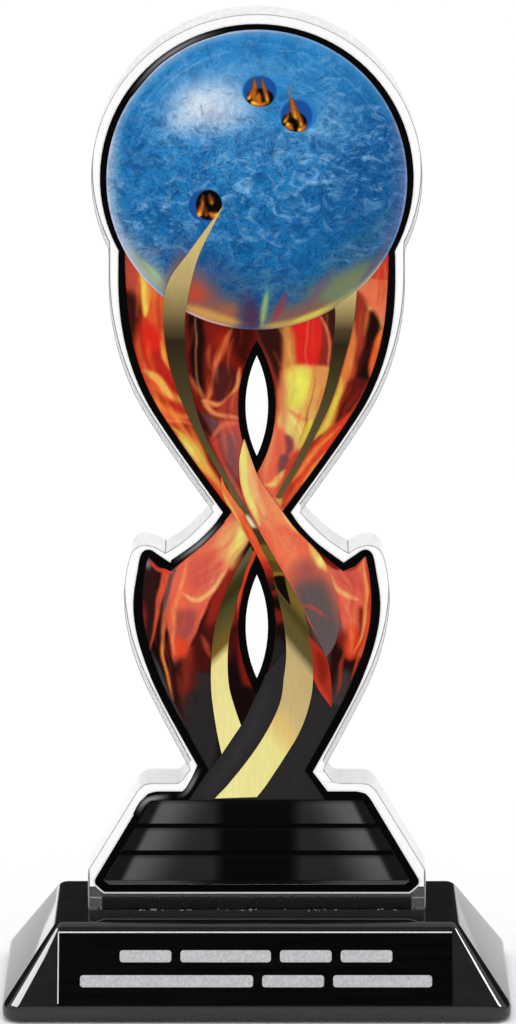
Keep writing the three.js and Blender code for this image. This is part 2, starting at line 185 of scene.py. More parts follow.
class Paint:
    """Colour at each of a set of points; each call lays one more colour over what is there."""

    def __init__(self, points, ground, softer=1.0):
        self.points = np.asarray(points, float)
        self.softer = softer
        self.colour = np.tile(rgb(ground), (len(points), 1))
        self.extra = np.ones(len(points))  # a second value for the material to use

    def lay(self, rows, cover, shade):
        self.colour[rows] += (shade - self.colour[rows]) * cover[:, None]

    def over(self, colour, cover):
        """Lays a colour over every point, each to its own share."""
        self.lay(slice(None), cover, rgb(colour)[None, :])

    def near(self, outline, margin):
        low, high = outline.min(0) - margin, outline.max(0) + margin
        return np.nonzero(((self.points > low) & (self.points < high)).all(1))[0]

    def area(self, colour, soft, outline, strength=1.0, to=None, straight=False):
        """Fills an outline. to = (colour, start, end) runs on to a second colour between two points."""
        outline = np.asarray(outline, float) if straight else spline(outline, 5, closed=True)
        soft = soft * (1 if straight else self.softer)
        rows = self.near(outline, soft)
        points = self.points[rows]
        if not len(points):
            return
        distance, _ = nearest(np.vstack([outline, outline[:1]]), points)
        depth = np.where(inside(outline, points), distance, -distance)
        shade = rgb(colour)[None, :]
        if to:
            share = share_between(points, to[1], to[2])[:, None]
            shade = shade + (rgb(to[0]) - shade) * share
        self.lay(rows, smooth(-soft, soft, depth) * strength, shade)

    def strand(self, colour, width, soft, route, strength=1.0):
        """A soft tapering line. width may be several values spread along the route."""
        route = spline(route, 5)
        widths = np.atleast_1d(width) / 2
        soft = soft * self.softer
        rows = self.near(route, widths.max() + soft)
        points = self.points[rows]
        if not len(points):
            return
        distance, place = nearest(route, points)
        half = np.interp(place, np.linspace(0, 1, len(widths)), widths)
        half = half * np.interp(place, [0, 0.15, 0.85, 1], [0.35, 1, 1, 0.35])
        self.lay(rows, (1 - smooth(half - soft, half + soft, distance)) * strength, rgb(colour)[None, :])

    def glow(self, colour, centre, radius, strength=1.0):
        """A soft spot; radius may be (x, z)."""
        away = np.linalg.norm((self.points - centre) / np.broadcast_to(radius, 2), axis=1)
        self.over(colour, np.exp(-2.2 * away**2) * strength)

    def licks(self, seed, left, right, colours, count, width, length, strength=0.5):
        """Random tongues of flame that follow the flow between two guide lines."""
        random = np.random.default_rng(seed)
        colours = colours.split()
        for _ in range(count):
            reach = random.uniform(*length)
            places = random.uniform(-0.1, 1.05 - reach) + np.linspace(0, reach, 6)
            places = np.clip(places, 0, 1)
            sway = 0.07 * np.sin(places * random.uniform(8, 15) + random.uniform(0, 6.3))
            across = np.clip(random.uniform(0.04, 0.96) + sway, 0, 1)[:, None]
            route = along(left, places) * (1 - across) + along(right, places) * across
            size = random.uniform(*width)
            colour = "#" + colours[random.integers(len(colours))]
            self.strand(colour, (0.3 * size, size, 0.7 * size, 0.2 * size), 0.25 + 0.3 * size, route,
                        strength * random.uniform(0.6, 1))

    def rows(self, table):
        """Lays a text table row by row: what to lay, its colour, its numbers, and then its points.

        area and patch: softness, strength, outline (a patch has straight sides)
        fade: softness, strength, second colour, where the fade starts and ends, outline
        strand: widths along it, softness, strength, route
        glow: centre, radius across and up, strength
        below: the heights where it starts and is full, strength
        """
        for row in table.strip().splitlines():
            kind, colour, *words = row.split()
            colour = "#" + colour
            if kind == "glow":
                centre, radius = pairs(words[:2])
                self.glow(colour, centre, radius, float(words[2]))
            elif kind == "strand":
                widths = [float(width) for width in words[0].split("/")]
                self.strand(colour, widths, float(words[1]), pairs(words[3:]), float(words[2]))
            elif kind == "below":
                start, full, strength = map(float, words)
                self.over(colour, smooth(start, full, self.points[:, 1]) * strength)
            elif kind == "fade":
                start, end, *outline = pairs(words[3:])
                to = ("#" + words[2], start, end)
                self.area(colour, float(words[0]), outline, float(words[1]), to)
            else:
                self.area(colour, float(words[0]), pairs(words[2:]), float(words[1]), None, kind == "patch")

    def finished(self):
        return np.column_stack([to_linear(np.clip(self.colour, 0, 1)), self.extra])


# ---- The flames. Each arm of the cup runs from the ball down to the waist and across. ----
LEFT_KEYLINE = pairs("-33,193 -32.3,184 -31.5,175.4 -29.4,166.2 -25.7,157 -20.1,147.8 -13.8,138.5 "
                     "-6.3,128")
LEFT_RIBBON = pairs("-22,189 -23,176 -21.3,164 -16.6,151.5 -9.6,138.5 -3.6,127.6")
LEFT_RIBBON_INNER = pairs("-17.4,182 -17.8,172 -16,158 -12,146 -5.6,134.4 -1.6,127.2")
LEFT_WINDOW = pairs("-1,176 -3,166 -4.4,158 -4.4,150 -2.4,140 0,131")
RIGHT_WINDOW = pairs("1,176 3.6,164 4.8,156 4.6,148 3,140 4.5,130")
RIGHT_RIBBON_INNER = pairs("19.4,181 19,172 17,160 12.6,147.5 4.8,131.6")
RIGHT_RIBBON = pairs("24.8,185 23.4,174 20,160.5 14.2,147 5.8,131.4")
RIGHT_KEYLINE = [(-x, z) for x, z in LEFT_KEYLINE]

# Outside the left gold ribbon.
LEFT_ARM = """
area CC3D20 0.6 1 -34,196 -20,190 -16,176 -17,158 -9,140 -5,126 -12,134 -26,150 -34,170
area B04331 0.6 1 -34,196 -29.4,190 -29.4,184 -34,182
area 3A0F0B 1.2 1 -34,183 -30,183.5 -28.6,179 -30.6,172 -30.6,166 -33,164
area E2602C 0.6 1 -28,189 -22,185 -22.4,172 -26.6,176
glow EE8A3C -26,186 3,5 0.45
area EBC850 0.35 1 -29,190 -27,186.6 -26.3,182.6 -27.7,178 -28.8,184
area DA281C 1.4 1 -29,175 -25,176 -22.6,168 -25,164.6 -28.6,167
area B4241B 0.9 1 -26.6,168 -22.4,168.6 -18.6,158 -20,157 -24,160.6
strand F0CF4E 0.3/1.2/0.5 0.35 0.9 -24,172 -22.8,168 -21.4,164.6
area DE5228 0.6 1 -29,165 -25,163 -18,155.4 -20,151.6 -25,154.6
strand ECB456 1.6/1.9/1.2 0.4 0.95 -28,164.6 -25,162.4 -22,158.6 -18,156
strand 8E1F14 0.6/1.3/0.8 0.5 0.85 -25.6,159.2 -22,156 -16.6,153.4
area C93A22 0.7 1 -23.6,155 -17.6,154 -15.8,150.6 -20,151
strand E4803F 0.9/1.6/1.1 0.4 0.85 -25,156.6 -21,153.2 -16.4,152.4
strand E08A4A 0.5/0.9/0.5 0.35 0.8 -22.4,151.8 -19,151.4 -15.4,150
area 8F1C13 0.7 1 -21,150.4 -15.4,149.4 -9.4,139.4 -11.4,141 -16.6,146
area B92B1C 0.7 0.9 -17.4,149.4 -14.8,148.4 -10.4,141 -12.4,143
strand D8402A 0.8 0.3 0.8 -20,150.6 -15,145.6 -10.6,139.6
strand D3C24C 0.8/2.8/2.2/1 0.6 0.95 -21,150 -17,145.6 -12.6,139.8 -8.2,134
strand E3D878 0.3/1/0.8/0.3 0.35 0.9 -19.6,147.4 -16.4,143.8 -13.4,139.6 -11,136
strand E2853F 0.6/2/1.8/1.2 0.5 0.9 -12.4,141 -9.2,136 -6.4,131.6 -3.4,126.6
strand D24E2A 0.3/1/0.8 0.4 0.8 -8.6,133 -6.2,129 -4.4,126.4
"""
# Between the left gold ribbon and the upper window.
LEFT_INNER = """
area 741710 0.6 1 -18.6,184 0.6,178 0.6,172 -3,166 -3,150 0,138 -8,134 -17.6,158
area 1D0806 0.6 1 -16.6,179.4 -13.4,178.6 -13.2,168 -13.4,158 -15.6,162 -16.9,170
strand C89468 0.35 0.25 0.75 -15,178.8 -15.2,170 -14.6,161 -13.4,156.6
glow 96210F -9,172 3.2,4.4 1
area 3C0A07 1.2 1 -6.4,176.6 -0.6,176 -2.4,167 -5,168.4
strand D86A3A 0.8/1.9/1.6/1.3 0.5 0.95 -7,174.6 -9.4,167.6 -10.9,161 -12.8,156.6
strand C26A3C 0.5/1.5/1 0.6 0.75 -12.6,157 -15.2,160.4 -16.6,163
area 4E1B1B 0.6 1 -8.6,166.6 -5,163 -6,159.4 -9,156.6 -11,159 -10.8,163
glow 3A1414 -6.2,163.4 1.6,3.2 0.8
strand E58F52 1/1.1/1.3 0.35 0.95 -4.2,165 -5.6,159.4 -9,156 -13,157
area A83A2B 0.6 1 -4,159 -9.6,155 -7,152.6 -4,152.6
strand E58A55 1.4/1.2/0.9 0.35 0.9 -13.6,157 -10,153.6 -4,152.2
area B9493F 0.8 1 -12.6,151 -4.2,151.2 -0.6,138.6 -1.4,129 -5,132 -11.4,146
area 5C3A3C 0.7 0.9 -14,153.6 -9.8,152 -9.4,148 -12.2,147.6
area 3A0E0C 0.4 1 -15,154.4 -13.2,152.6 -11,147 -12.4,146.8 -14.2,150.6
strand BE3A26 0.3/1/0.9/0.3 0.35 0.8 -13,148.6 -10.2,144.6 -7,139.4 -4,134
strand DC6547 1.2/1 0.4 0.85 -4,151.2 -8.6,150.6 -11.4,147
area 7A4A4A 1.2 0.9 -8.4,147.6 -5,147 -4.5,136 -6.8,135.6
strand 8C2A22 0.3/1/0.8 0.5 0.7 -7.6,141 -5.6,137 -3,132
"""
# Between the upper window and the right gold ribbon: red over yellow over ochre.
RIGHT_INNER = """
area C6402A 0.5 1 0,178 20,182 20,168 14,146 5,128 0,132 3,148 5,160
area 8A2A1E 0.5 1 15.2,180 20,182 19.8,172 18.6,165 15.2,165
area 371210 0.5 0.9 16.6,179.8 20,181.6 19.6,172 17.4,175
area D5231E 0.4 1 7,178 15.3,179.4 15.2,165.2 10,164.4 8.6,170
strand E25C42 0.5 0.2 0.8 13,178.4 12.1,171 12.8,165.4
strand DD8050 0.6 0.25 0.85 15.7,178.8 18,172 17.9,165.4
area C8803F 0.6 1 6,178 8.2,177 10,166 8.2,162.6 6.4,165
area 30100C 0.8 1 0,178 5.6,177.6 6.2,166 5.6,160.4 3.6,166 0,173
fade DD9450 0.5 1 DDB866 14,163 9,148 8,165 18.8,165.3 17.4,158 13,148 9.6,143.6 5,147 6.6,157
area E0BE5C 1.2 0.85 6.6,163 13.4,165 13,155 9,147 6.2,150
area E2DE58 1.4 0.95 8.6,163.6 12.6,164.4 12.6,157.6 9.6,154.6 8,158
area DFC670 1.2 0.85 7,154 12,154.4 9.4,147.6 6.2,149
strand D99A4C 0.6/1.8/1.2 0.8 0.7 14.2,164 13.6,158 12.8,152.6
strand D8623E 0.3/1/0.4 0.5 0.75 8.2,154.4 10.6,152.6 13.4,151.4
strand C9C24A 0.5/1.4/0.8 0.6 0.5 9.8,163.6 9,159 8,155
glow EDE75E 11.2,161.4 2.6,3.4 0.75
strand D27C50 0.8/2.2/1.8/0.8 0.8 0.75 6.4,164 6.2,158.6 6.8,153 6.4,148.6
strand DE9650 0.4/1.4/0.6 0.8 0.55 13.6,158 11.6,153.6 9.8,148.4
strand F0DC8A 0.2/0.6/0.3 0.3 0.7 8.2,153 10.2,150.6 11.2,147.8
strand 7E4420 0.25 0.1 0.7 14.7,163.4 13,154 10,144.8
area DED043 0.35 1 12.2,150.8 14,151.4 11.6,146.4 10.2,144.6
area DF6147 0.8 1 3.6,151 9.6,144.6 8,140 4.6,129 0,137
strand E38A55 0.4/1.6/1.4/0.5 0.6 0.8 4.4,152 3.4,145 2.4,139 1.8,135
area 824446 0.5 1 6.8,148 8.4,147.6 9,144.6 7.6,142.6 7.2,145
area 744447 0.5 1 6.4,143 8.4,142 7,138.6 5,137.4 5.4,140.6
strand B5301E 0.5/1.2/0.8/0.4 0.4 0.85 10.2,144.4 8.8,141.4 6.4,137 4.6,133.6
strand E9BE68 0.6/1.7/0.8 0.4 0.95 1.8,135 4.4,135.4 7,138.6
area DDB24D 0.3 1 4,131.6 6.2,131.4 6.2,129.2 4.9,128.6
"""
# Outside the right gold ribbon.
RIGHT_ARM = """
area B8402A 0.6 1 34,196 23,187 22,160 14,142 5,127 12,132 26,150 34,170
area C93A2B 0.4 1 34,196 27.4,187.6 34,187.8
patch DF6F4A 0.3 1 24.4,185.4 27.6,187.8 33.4,187.5 33.4,178 31.6,175.2 28,180
strand EFAF62 0.3/0.9/1.2 0.3 0.9 24.8,183.8 28.2,180.2 31.6,175.4
area 93321F 0.6 1 24.4,183.8 27.6,181 28,174 26,166 23.8,168
area 1D0908 0.6 1 28.4,179.6 31,176 29,171 28,162 24.6,161.6 26.6,171
area DC5C26 0.5 1 31.6,175.6 29,171.6 28,163.6 29.4,164 32,171
area 541511 0.7 1 22.6,161.4 27.6,161.8 24.4,155.4 20.9,150.6 19.6,153
strand DD7B3D 1.2/2.4/2.6/2.8 0.5 0.95 24.3,177 22.8,166.6 19.4,157.6 14.4,147
strand D8C746 0.5/1.8/3/1.8 0.6 0.95 21,162.4 19.6,156 17.4,151.4 14,147.4
strand C9682F 0.4/1.4/0.6 0.5 0.7 18.4,156.4 16.8,152.6 14.6,148.4
area D63F22 0.5 1 23,153.6 17,148.2 13.6,144.6 7,134.6 12,136 22.6,150.2
strand E07A40 0.5/1.2/0.8 0.4 0.75 13.6,147 11.4,142.4 7.2,135
strand E88A45 0.4/1.1/0.7 0.3 0.85 20.6,150.2 14,143 8.6,135.6
strand DBA046 0.4/1/0.4 0.3 0.85 17.6,143.4 14.6,140.2 11,135.4
"""
# The lobe's outer stripes and its broad lit face.
LEFT_LOBE = """
area 140606 0.6 1 -31,118 -6,129 0.5,121 -2,108 -5,98 -4,84 0,80 -8,62 -13,58 -26,86
area 8C2318 0.9 1 -8,113.6 -1.4,116.6 -2.6,107 -6,98 -13,96.6 -12,104
area 4A110D 1.2 0.9 -16,97 -9,99 -4.8,96 -6,90 -12,86 -17,86
strand A8452C 0.5/1.5/0.6 0.5 0.85 -14.2,96 -12.6,93 -11.2,90
area 2A2728 0.7 1 -18.8,84 -14,86 -10.6,84 -9.6,72 -11.4,62 -13.4,59 -17,67
area 5E1A12 0.9 0.85 -18.6,90 -15.6,92 -15.4,80 -17.8,72 -18.8,80
area 2B1413 0.5 1 -29.4,113 -25.4,115.8 -25,104 -26.6,94 -29.6,100
glow 8B2219 -28.3,101 0.9,4.6 0.9
area DE5334 0.3 1 -23.6,113.6 -21.6,112.8 -25,100 -26.9,91.4 -25.6,102
area 5A4646 0.35 1 -21.6,113.6 -19.7,113.6 -22.6,102 -24.2,96.6 -23.4,105
strand D9402C 0.5/1.1/1.3 0.2 0.95 -27,115.6 -24.8,113.2 -21.4,112.5
area E0614A 0.25 1 -1.8,121.2 -6,128.6 -12,121.6 -20.2,113.6 -22.8,101 -22,95 -20.8,88 -19.2,80 \
-17.1,92.5 -12.5,103 -7.3,113.8
area CC5449 1.3 0.85 -8.6,115 -11,108.2 -17.4,109 -15,115
area E8B56C 1.5 0.75 -2.4,123 -4.4,126 -10.6,121.6 -8,115.6 -6,114.6
area E8DC74 1.1 1 -2,122 -4.4,125.2 -6.6,117.4 -6.4,114.2
strand EBB673 0.7/1.1/1.3/0.8 0.3 0.9 -7.4,114 -11.2,107.6 -15,105.2 -18.8,107
area 9B4541 0.9 0.85 -20,102 -14.8,102 -18,93.6 -20.4,94.6
area DE4728 0.8 0.95 -21.4,95.4 -17,93.6 -17.8,89.6 -20.6,90
area 2A0E0C 1.2 0.95 -22,87.6 -17.6,88.6 -18.6,74 -21.6,80
strand EA8C55 0.5/1/0.9/0.7 0.25 0.9 -17,116.4 -19.9,106 -21.3,96 -20.6,91
strand E06A38 0.4/1.6/0.9 0.4 0.85 -21.6,104.6 -23,101 -23.7,96
strand EC8638 0.5/0.9/0.7/0.4 0.2 0.95 -23.7,99.4 -23.7,93 -23.2,87.6 -21,79
strand 842619 1/2.6/2.2/0.8 0.8 0.85 -16.2,93 -17.8,87 -18.2,81 -17.6,75
strand 4B4949 0.4/1.3/1/0.4 0.4 0.85 -26.4,92 -24.6,86 -21.6,79 -18,71.6
glow A89292 -27.3,114.4 1.1,1.8 0.8
"""
# Between the lower window and the front band, under the gold ribbon.
RIGHT_HOLLOW = """
area 160707 0.5 1 0,122 4,116 20,90 20,76 12,60 4,84 4.4,98 1,115
area 8E2118 0.7 0.95 0,119.6 2.6,114.6 5.4,107 3.4,106.6 1,114
area 7C1C15 0.7 0.95 4.6,102.6 6.8,102 7,99.4 4.8,99.2
area 211F20 0.7 1 4.4,95 7.2,93 7,84 3,74 0.4,80 3,86
strand 5A1A15 0.6/1.5/0.6 0.6 0.85 2.8,88 4.8,84.6 6.4,81.4
strand 1F1D1E 0.3/0.5/0.3 0.3 0.4 9.6,66 6.8,60 2.6,54
"""
# The lobe that the broad band reaches after it crosses in front at the waist.
RIGHT_LOBE = """
area E4694A 0.3 1 0,131 9,120 16,110 20,96 19,78 24,84 30,96 30,116 27,118.6 21.6,111 12,121.6 4,132
area A8554A 2.2 1 10,111 17,111.4 21.6,102 22.4,93 18,88 13.6,98 10,106
area 5B5150 2.4 0.95 10.6,107 16.6,108 20.6,101 21.6,92 17.6,88 13.6,99
area DC5E4A 0.25 1 16.6,114.2 18.9,109 20.4,103.6 21.9,97 22.9,91 27,91 31,104 28,119 21,113
area C24C46 1.2 0.7 20.4,112.4 25.6,112.6 25.6,108 22,108
area CE3A1E 0.9 0.9 22.4,97.6 25.2,98 24.8,91.6 22.8,91
area 7A1D14 0.6 0.9 25.6,102.6 27.6,102.6 28.2,98 26.4,92 24.9,90 25.5,97
strand EDB673 1.2/1/1.4 0.35 0.95 16.8,114 20.2,107.8 25.4,105.2
area B7271C 0.6 0.85 27.6,115 29,106 28.3,99 27.2,103
strand 9A2C20 0.6/1.2/0.6 0.3 0.8 21.8,112.8 24.4,113.6 26.6,115.8
area 240A08 0.9 1 18.6,93.6 21.8,95.6 22.8,90.6 26.2,90 24.6,84 21,77 18.6,83
area 8A2419 0.8 0.8 19,97.4 22,96.8 22.4,92.4 20,94.4
area 3C3838 1 0.9 20.4,86 23.6,86 22.4,78 19,72 19.2,80
area D2391D 0.7 0.9 22.6,95.4 25.8,94.6 24.8,90 22.6,90.2
strand A2301F 0.5/1.1/0.9/0.3 0.35 0.9 22.4,92 21.3,88.4 20.8,84 20.5,80
strand EE9452 0.5/1.1/0.9/0.4 0.22 0.95 26.8,116 27.6,105 26.6,96.6 24.6,91
strand DE4A24 0.5/0.9/0.6/0.3 0.22 0.9 28.4,103 27.7,97 26,91 23.6,84.4
"""
# Plain charcoal where the two arms come down to the pedestal.
FOOT = """
patch 2A2828 0.6 1 13,85 18.2,83 19.2,78 22,76 16,62 16,56 22,50 -24,50 -12,56 0,58 4,62 9,74
area 272526 1.4 0.9 -18.8,78 -14.6,82 -11,78 -9.6,66 -12,58 -17,66
"""

# Each region's table, then its licks: seed, two edges, colours, count, widths, lengths, strength.
FLAME_REGIONS = [
    (LEFT_ARM, [(1, LEFT_KEYLINE, LEFT_RIBBON, "F0B04E E8862F C92A1A 7A1510 E9542A",
                 34, (0.3, 1.3), (0.10, 0.24), 0.55)]),
    (LEFT_INNER, [(2, LEFT_RIBBON_INNER, LEFT_WINDOW, "E9824A C2341F 5B120D EDA35B",
                   22, (0.3, 1.0), (0.10, 0.24), 0.5)]),
    (RIGHT_INNER, [(3, RIGHT_WINDOW, RIGHT_RIBBON_INNER, "F0C060 D33A22 E9783A A5281A",
                    20, (0.25, 0.9), (0.08, 0.2), 0.45)]),
    (RIGHT_ARM, [(4, RIGHT_RIBBON, RIGHT_KEYLINE, "F0A64A E05A2A 7B1A12 C42D1C",
                  26, (0.3, 1.1), (0.08, 0.2), 0.5)]),
    (LEFT_LOBE, [(5, pairs("-27,114 -26.6,98 -21,80"), pairs("-7.6,113 -13.6,100 -18.4,82"),
                  "EE8A4A B93A2A E9643C 8C3A34", 20, (0.3, 1.0), (0.2, 0.45), 0.4),
                 (6, pairs("-6,127 -14,119 -21,113"), pairs("-2,121 -8,112 -15,104"),
                  "EEA866 D04C38 E87850", 16, (0.4, 1.2), (0.3, 0.6), 0.4)]),
    (RIGHT_HOLLOW, []),
    (RIGHT_LOBE, [(7, pairs("17.4,112 21,102 23.4,90"), pairs("27.4,115 28,103 25,90"),
                   "F0A45C C43A2A EC6A3C", 18, (0.3, 1.0), (0.25, 0.5), 0.45)]),
    (FOOT, []),
]


def wavered(points, reach=0.18):
    """The points moved a little, so that the flames laid over them sway."""
    x, z = np.asarray(points, float).T
    across = np.sin(0.50 * z + 0.6 * np.sin(0.3 * x)) + 0.4 * np.sin(0.9 * z + 0.5 * x + 1.0)
    up = np.sin(0.4 * x + 0.2 * z) + 0.4 * np.sin(0.8 * x - 0.6 * z + 2.0)
    return np.column_stack([x + reach * across, z + reach * up])


def painted_flames(points):
    p = Paint(wavered(points), "#741710", 1.35)
    for table, licks in FLAME_REGIONS:
        p.rows(table)
        for lick in licks:
            p.licks(*lick)
    return p.finished()


# ---- Meshes ----


def mesh_object(name, verts, faces, material, body="root"):
    mesh = bpy.data.meshes.new(name)
    mesh.from_pydata(np.asarray(verts, float).tolist(), [], [list(f) for f in faces])
    mesh.update()
    piece = bpy.data.objects.new(name, mesh)
    scene.collection.objects.link(piece)
    mesh.materials.append(material)
    if body:
        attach(piece, body)
    return piece


def slab(name, points, quads, front, thick, material, paint=None):
    """A thin closed sheet from flat points and quads; front is the y of its face towards the viewer."""
    points = np.asarray(points, float)
    corner = points[quads]
    turn = np.cross(corner[:, 1] - corner[:, 0], corner[:, 2] - corner[:, 0]).sum()
    quads = quads if turn > 0 else quads[:, ::-1]
    count = len(points)
    edges = np.vstack([quads[:, [k, (k + 1) % 4]] for k in range(4)]).astype(np.int64)
    key, back = edges[:, 0] * count + edges[:, 1], edges[:, 1] * count + edges[:, 0]
    a, b = edges[~np.isin(key, back)].T
    walls = np.column_stack([b, a, a + count, b + count])
    verts = np.vstack([np.insert(points, 1, y, axis=1) for y in (front, front + thick)]) * MM
    faces = np.vstack([quads, quads[:, ::-1] + count, walls]).tolist()
    piece = mesh_object(name, verts, faces, material)
    if paint is not None:
        layer = piece.data.color_attributes.new("paint", "FLOAT_COLOR", "POINT")
        layer.data.foreach_set("color", np.vstack([paint, paint]).astype(np.float32).ravel())
    return piece


def grid_quads(rows, columns):
    index = np.arange(rows * columns).reshape(rows, columns)
    return np.stack([index[:-1, :-1], index[:-1, 1:], index[1:, 1:], index[1:, :-1]], -1).reshape(-1, 4)


def disc_points(centre, half, count):
    """A square grid bent into a disc, so that its rim is smooth."""
    u, v = np.meshgrid(np.linspace(-1, 1, count), np.linspace(-1, 1, count))
    x, z = u * np.sqrt(1 - v * v / 2), v * np.sqrt(1 - u * u / 2)
    return np.column_stack([centre[0] + half[0] * x.ravel(), centre[1] + half[1] * z.ravel()])


def strip_points(left, right, rows, columns):
    """Rows of points between a left edge and a right edge, top to bottom."""
    places = np.linspace(0, 1, rows)
    one, two = along(left, places), along(right, places)
    share = np.linspace(0, 1, columns)[None, :, None]
    return (one[:, None] * (1 - share) + two[:, None] * share).reshape(-1, 2)


def cells_inside(outline, margin, holes, step, low, high):
    """Square cells between two heights whose middles lie in the outline or its margin, and in no hole."""
    x = np.arange(-36, 36, step)
    z = np.arange(low, high + step / 2, step)
    across, up = np.meshgrid(x, z)
    points = np.column_stack([across.ravel(), up.ravel()])
    quads = grid_quads(len(z), len(x))
    middle = points[quads].mean(1)
    rim = np.vstack([outline, outline[:1]])
    keep = inside(outline, middle) | (nearest(rim, middle)[0] < margin)
    for hole in holes:
        keep &= ~inside(hole, middle)
    used, quads = np.unique(quads[keep], return_inverse=True)
    return points[used], quads.reshape(-1, 4)


# ---- Materials ----


class Nodes:
    """Short calls for building the nodes of one material, or of the world."""

    def __init__(self, name, world=False):
        self.material = (bpy.data.worlds if world else bpy.data.materials).new(name)
        self.material.use_nodes = True
        self.tree = self.material.node_tree
        self.shader = self.tree.nodes["Background" if world else "Principled BSDF"]
        self.place = self.add("ShaderNodeTexCoord").outputs["Object"]

    def add(self, kind, **settings):
        node = self.tree.nodes.new(kind)
        for key, value in settings.items():
            if hasattr(node, key):
                setattr(node, key, value)
            else:
                self.feed(node.inputs[key.replace("_", " ")], value)
        return node

    def feed(self, socket, value):
        if isinstance(value, bpy.types.NodeSocket):
            self.tree.links.new(value, socket)
        else:
            socket.default_value = value

    def set(self, **inputs):
        for key, value in inputs.items():
            self.feed(self.shader.inputs[key.replace("_", " ")], value)

    def noise(self, scale, detail=4.0, distortion=0.0, stretch=None, roughness=0.55):
        """Noise of so many waves a metre."""
        place = self.place
        if stretch:
            place = self.add("ShaderNodeMapping", Vector=place, Scale=stretch).outputs["Vector"]
        return self.add("ShaderNodeTexNoise", Vector=place, Scale=scale, Detail=detail,
                        Distortion=distortion, Roughness=roughness).outputs["Fac"]

    def ramp(self, value, *stops):
        """Colours (linear) or greys at places along a value."""
        node = self.add("ShaderNodeValToRGB", Fac=value)
        marks = node.color_ramp.elements
        while len(marks) < len(stops):
            marks.new(0.5)
        for mark, (place, colour) in zip(marks, sorted(stops, key=lambda stop: stop[0])):
            mark.position = place
            grey = isinstance(colour, (int, float))
            mark.color = (colour, colour, colour, 1) if grey else (*to_linear(rgb(colour)), 1)
        return node.outputs["Color"]

    def mix(self, share, one, two, blend="MIX"):
        node = self.add("ShaderNodeMix", data_type="RGBA", blend_type=blend)
        self.feed(node.inputs["Factor"], share)
        for socket, value in ((node.inputs[6], one), (node.inputs[7], two)):
            self.feed(socket, (*to_linear(rgb(value)), 1) if isinstance(value, str) else value)
        return node.outputs[2]

    def span(self, value, from_low, from_high, to_low=0.0, to_high=1.0, kind="LINEAR"):
        return self.add("ShaderNodeMapRange", interpolation_type=kind, Value=value, From_Min=from_low,
                        From_Max=from_high, To_Min=to_low, To_Max=to_high).outputs["Result"]

    def math(self, operation, one, two=0.0):
        node = self.add("ShaderNodeMath", operation=operation)
        self.feed(node.inputs[0], one)
        self.feed(node.inputs[1], two)
        return node.outputs[0]

    def axis(self, letter):
        return self.add("ShaderNodeSeparateXYZ", Vector=self.place).outputs[letter]

    def bump(self, height, strength, distance=0.0001):
        self.set(Normal=self.add("ShaderNodeBump", Height=height, Strength=strength,
                                 Distance=distance).outputs["Normal"])


def ink_surface(n, roughness=0.35):
    """Printed ink: fine droplets in its height and a slightly uneven gloss."""
    n.set(Roughness=n.span(n.noise(900), 0.3, 0.7, roughness - 0.06, roughness + 0.06),
          Specular_IOR_Level=0.02)
    n.bump(n.noise(6500, 2), 0.05, 0.00002)
    return n.material


def painted_material(name, variation=0.10, stretch=(1, 1, 1)):
    """Ink whose colour is painted on the mesh, with a little tone variation."""
    n = Nodes(name)
    colour = n.add("ShaderNodeAttribute", attribute_name="paint").outputs["Color"]
    tone = n.ramp(n.noise(420, 5, 0.6, stretch), (0.3, 1 - variation), (0.7, 1 + variation))
    n.set(Base_Color=n.mix(1.0, colour, tone, "MULTIPLY"))
    return ink_surface(n)


def ball_material():
    """Marbled blue: dark clouds, pale wisps in patches and a fine grain, calmer near the top."""
    n = Nodes("ball_print")
    paint = n.add("ShaderNodeAttribute", attribute_name="paint")
    calm = n.span(n.axis("Z"), 0.223, 0.237, 1.0, 0.45)
    strength = n.math("MULTIPLY", paint.outputs["Alpha"], calm)
    dark = n.ramp(n.noise(210, 11, 0.9, roughness=0.74), (0.38, 0.85), (0.47, 0.45), (0.54, 0.0))
    colour = n.mix(n.math("MULTIPLY", strength, dark), paint.outputs["Color"], "#0C4A86")
    fine = n.ramp(n.noise(1700, 4, 0.5), (0.34, 0.62), (0.5, 1.0), (0.68, 1.2))
    colour = n.mix(1.0, colour, n.mix(strength, (1, 1, 1, 1), fine), "MULTIPLY")
    patches = n.ramp(n.noise(75, 3, 0.4), (0.40, 0.25), (0.60, 1.0))
    wisps = n.ramp(n.noise(300, 10, 0.7, (0.8, 1, 1.15), 0.72), (0.49, 0.0), (0.57, 0.35), (0.66, 0.9))
    low = n.span(n.axis("Z"), 0.190, 0.209, 0.30, 1.0)
    share = n.math("MULTIPLY", n.math("MULTIPLY", strength, low), n.math("MULTIPLY", wisps, patches))
    n.set(Base_Color=n.mix(share, colour, "#86C0E8"))
    return ink_surface(n, 0.3)


def black_ink_material():
    """The outline's near-black, with the faint mottle of a printed solid."""
    n = Nodes("outline_print")
    n.set(Base_Color=n.ramp(n.noise(2500, 3), (0.35, "#010101"), (0.65, "#050506")))
    return ink_surface(n, 0.45)


def white_ink_material():
    n = Nodes("white_print")
    n.set(Base_Color=n.ramp(n.noise(1500, 4), (0.3, "#F4F4F3"), (0.7, "#FDFDFC")))
    return ink_surface(n, 0.5)


def gold_material(name, tilt, stops):
    """Flat gold print. Its shades run down the ribbon; tilt leans them across it. The stops are text:
    heights in millimetres, from the top down, each with its colour."""
    stops = stops.split()
    stops = [(float(z), "#" + colour) for z, colour in zip(stops[::2], stops[1::2])]
    n = Nodes(name)
    height = n.math("ADD", n.axis("Z"), n.math("MULTIPLY", n.axis("X"), tilt))
    low, high = stops[-1][0], stops[0][0]
    place = n.span(height, low * MM, high * MM)
    shades = n.ramp(place, *[((z - low) / (high - low), colour) for z, colour in stops])
    streak = n.ramp(n.noise(500, 4, 0.2, (3, 1, 0.3)), (0.3, 0.95), (0.7, 1.05))
    n.set(Base_Color=n.mix(1.0, shades, streak, "MULTIPLY"))
    return ink_surface(n, 0.32)


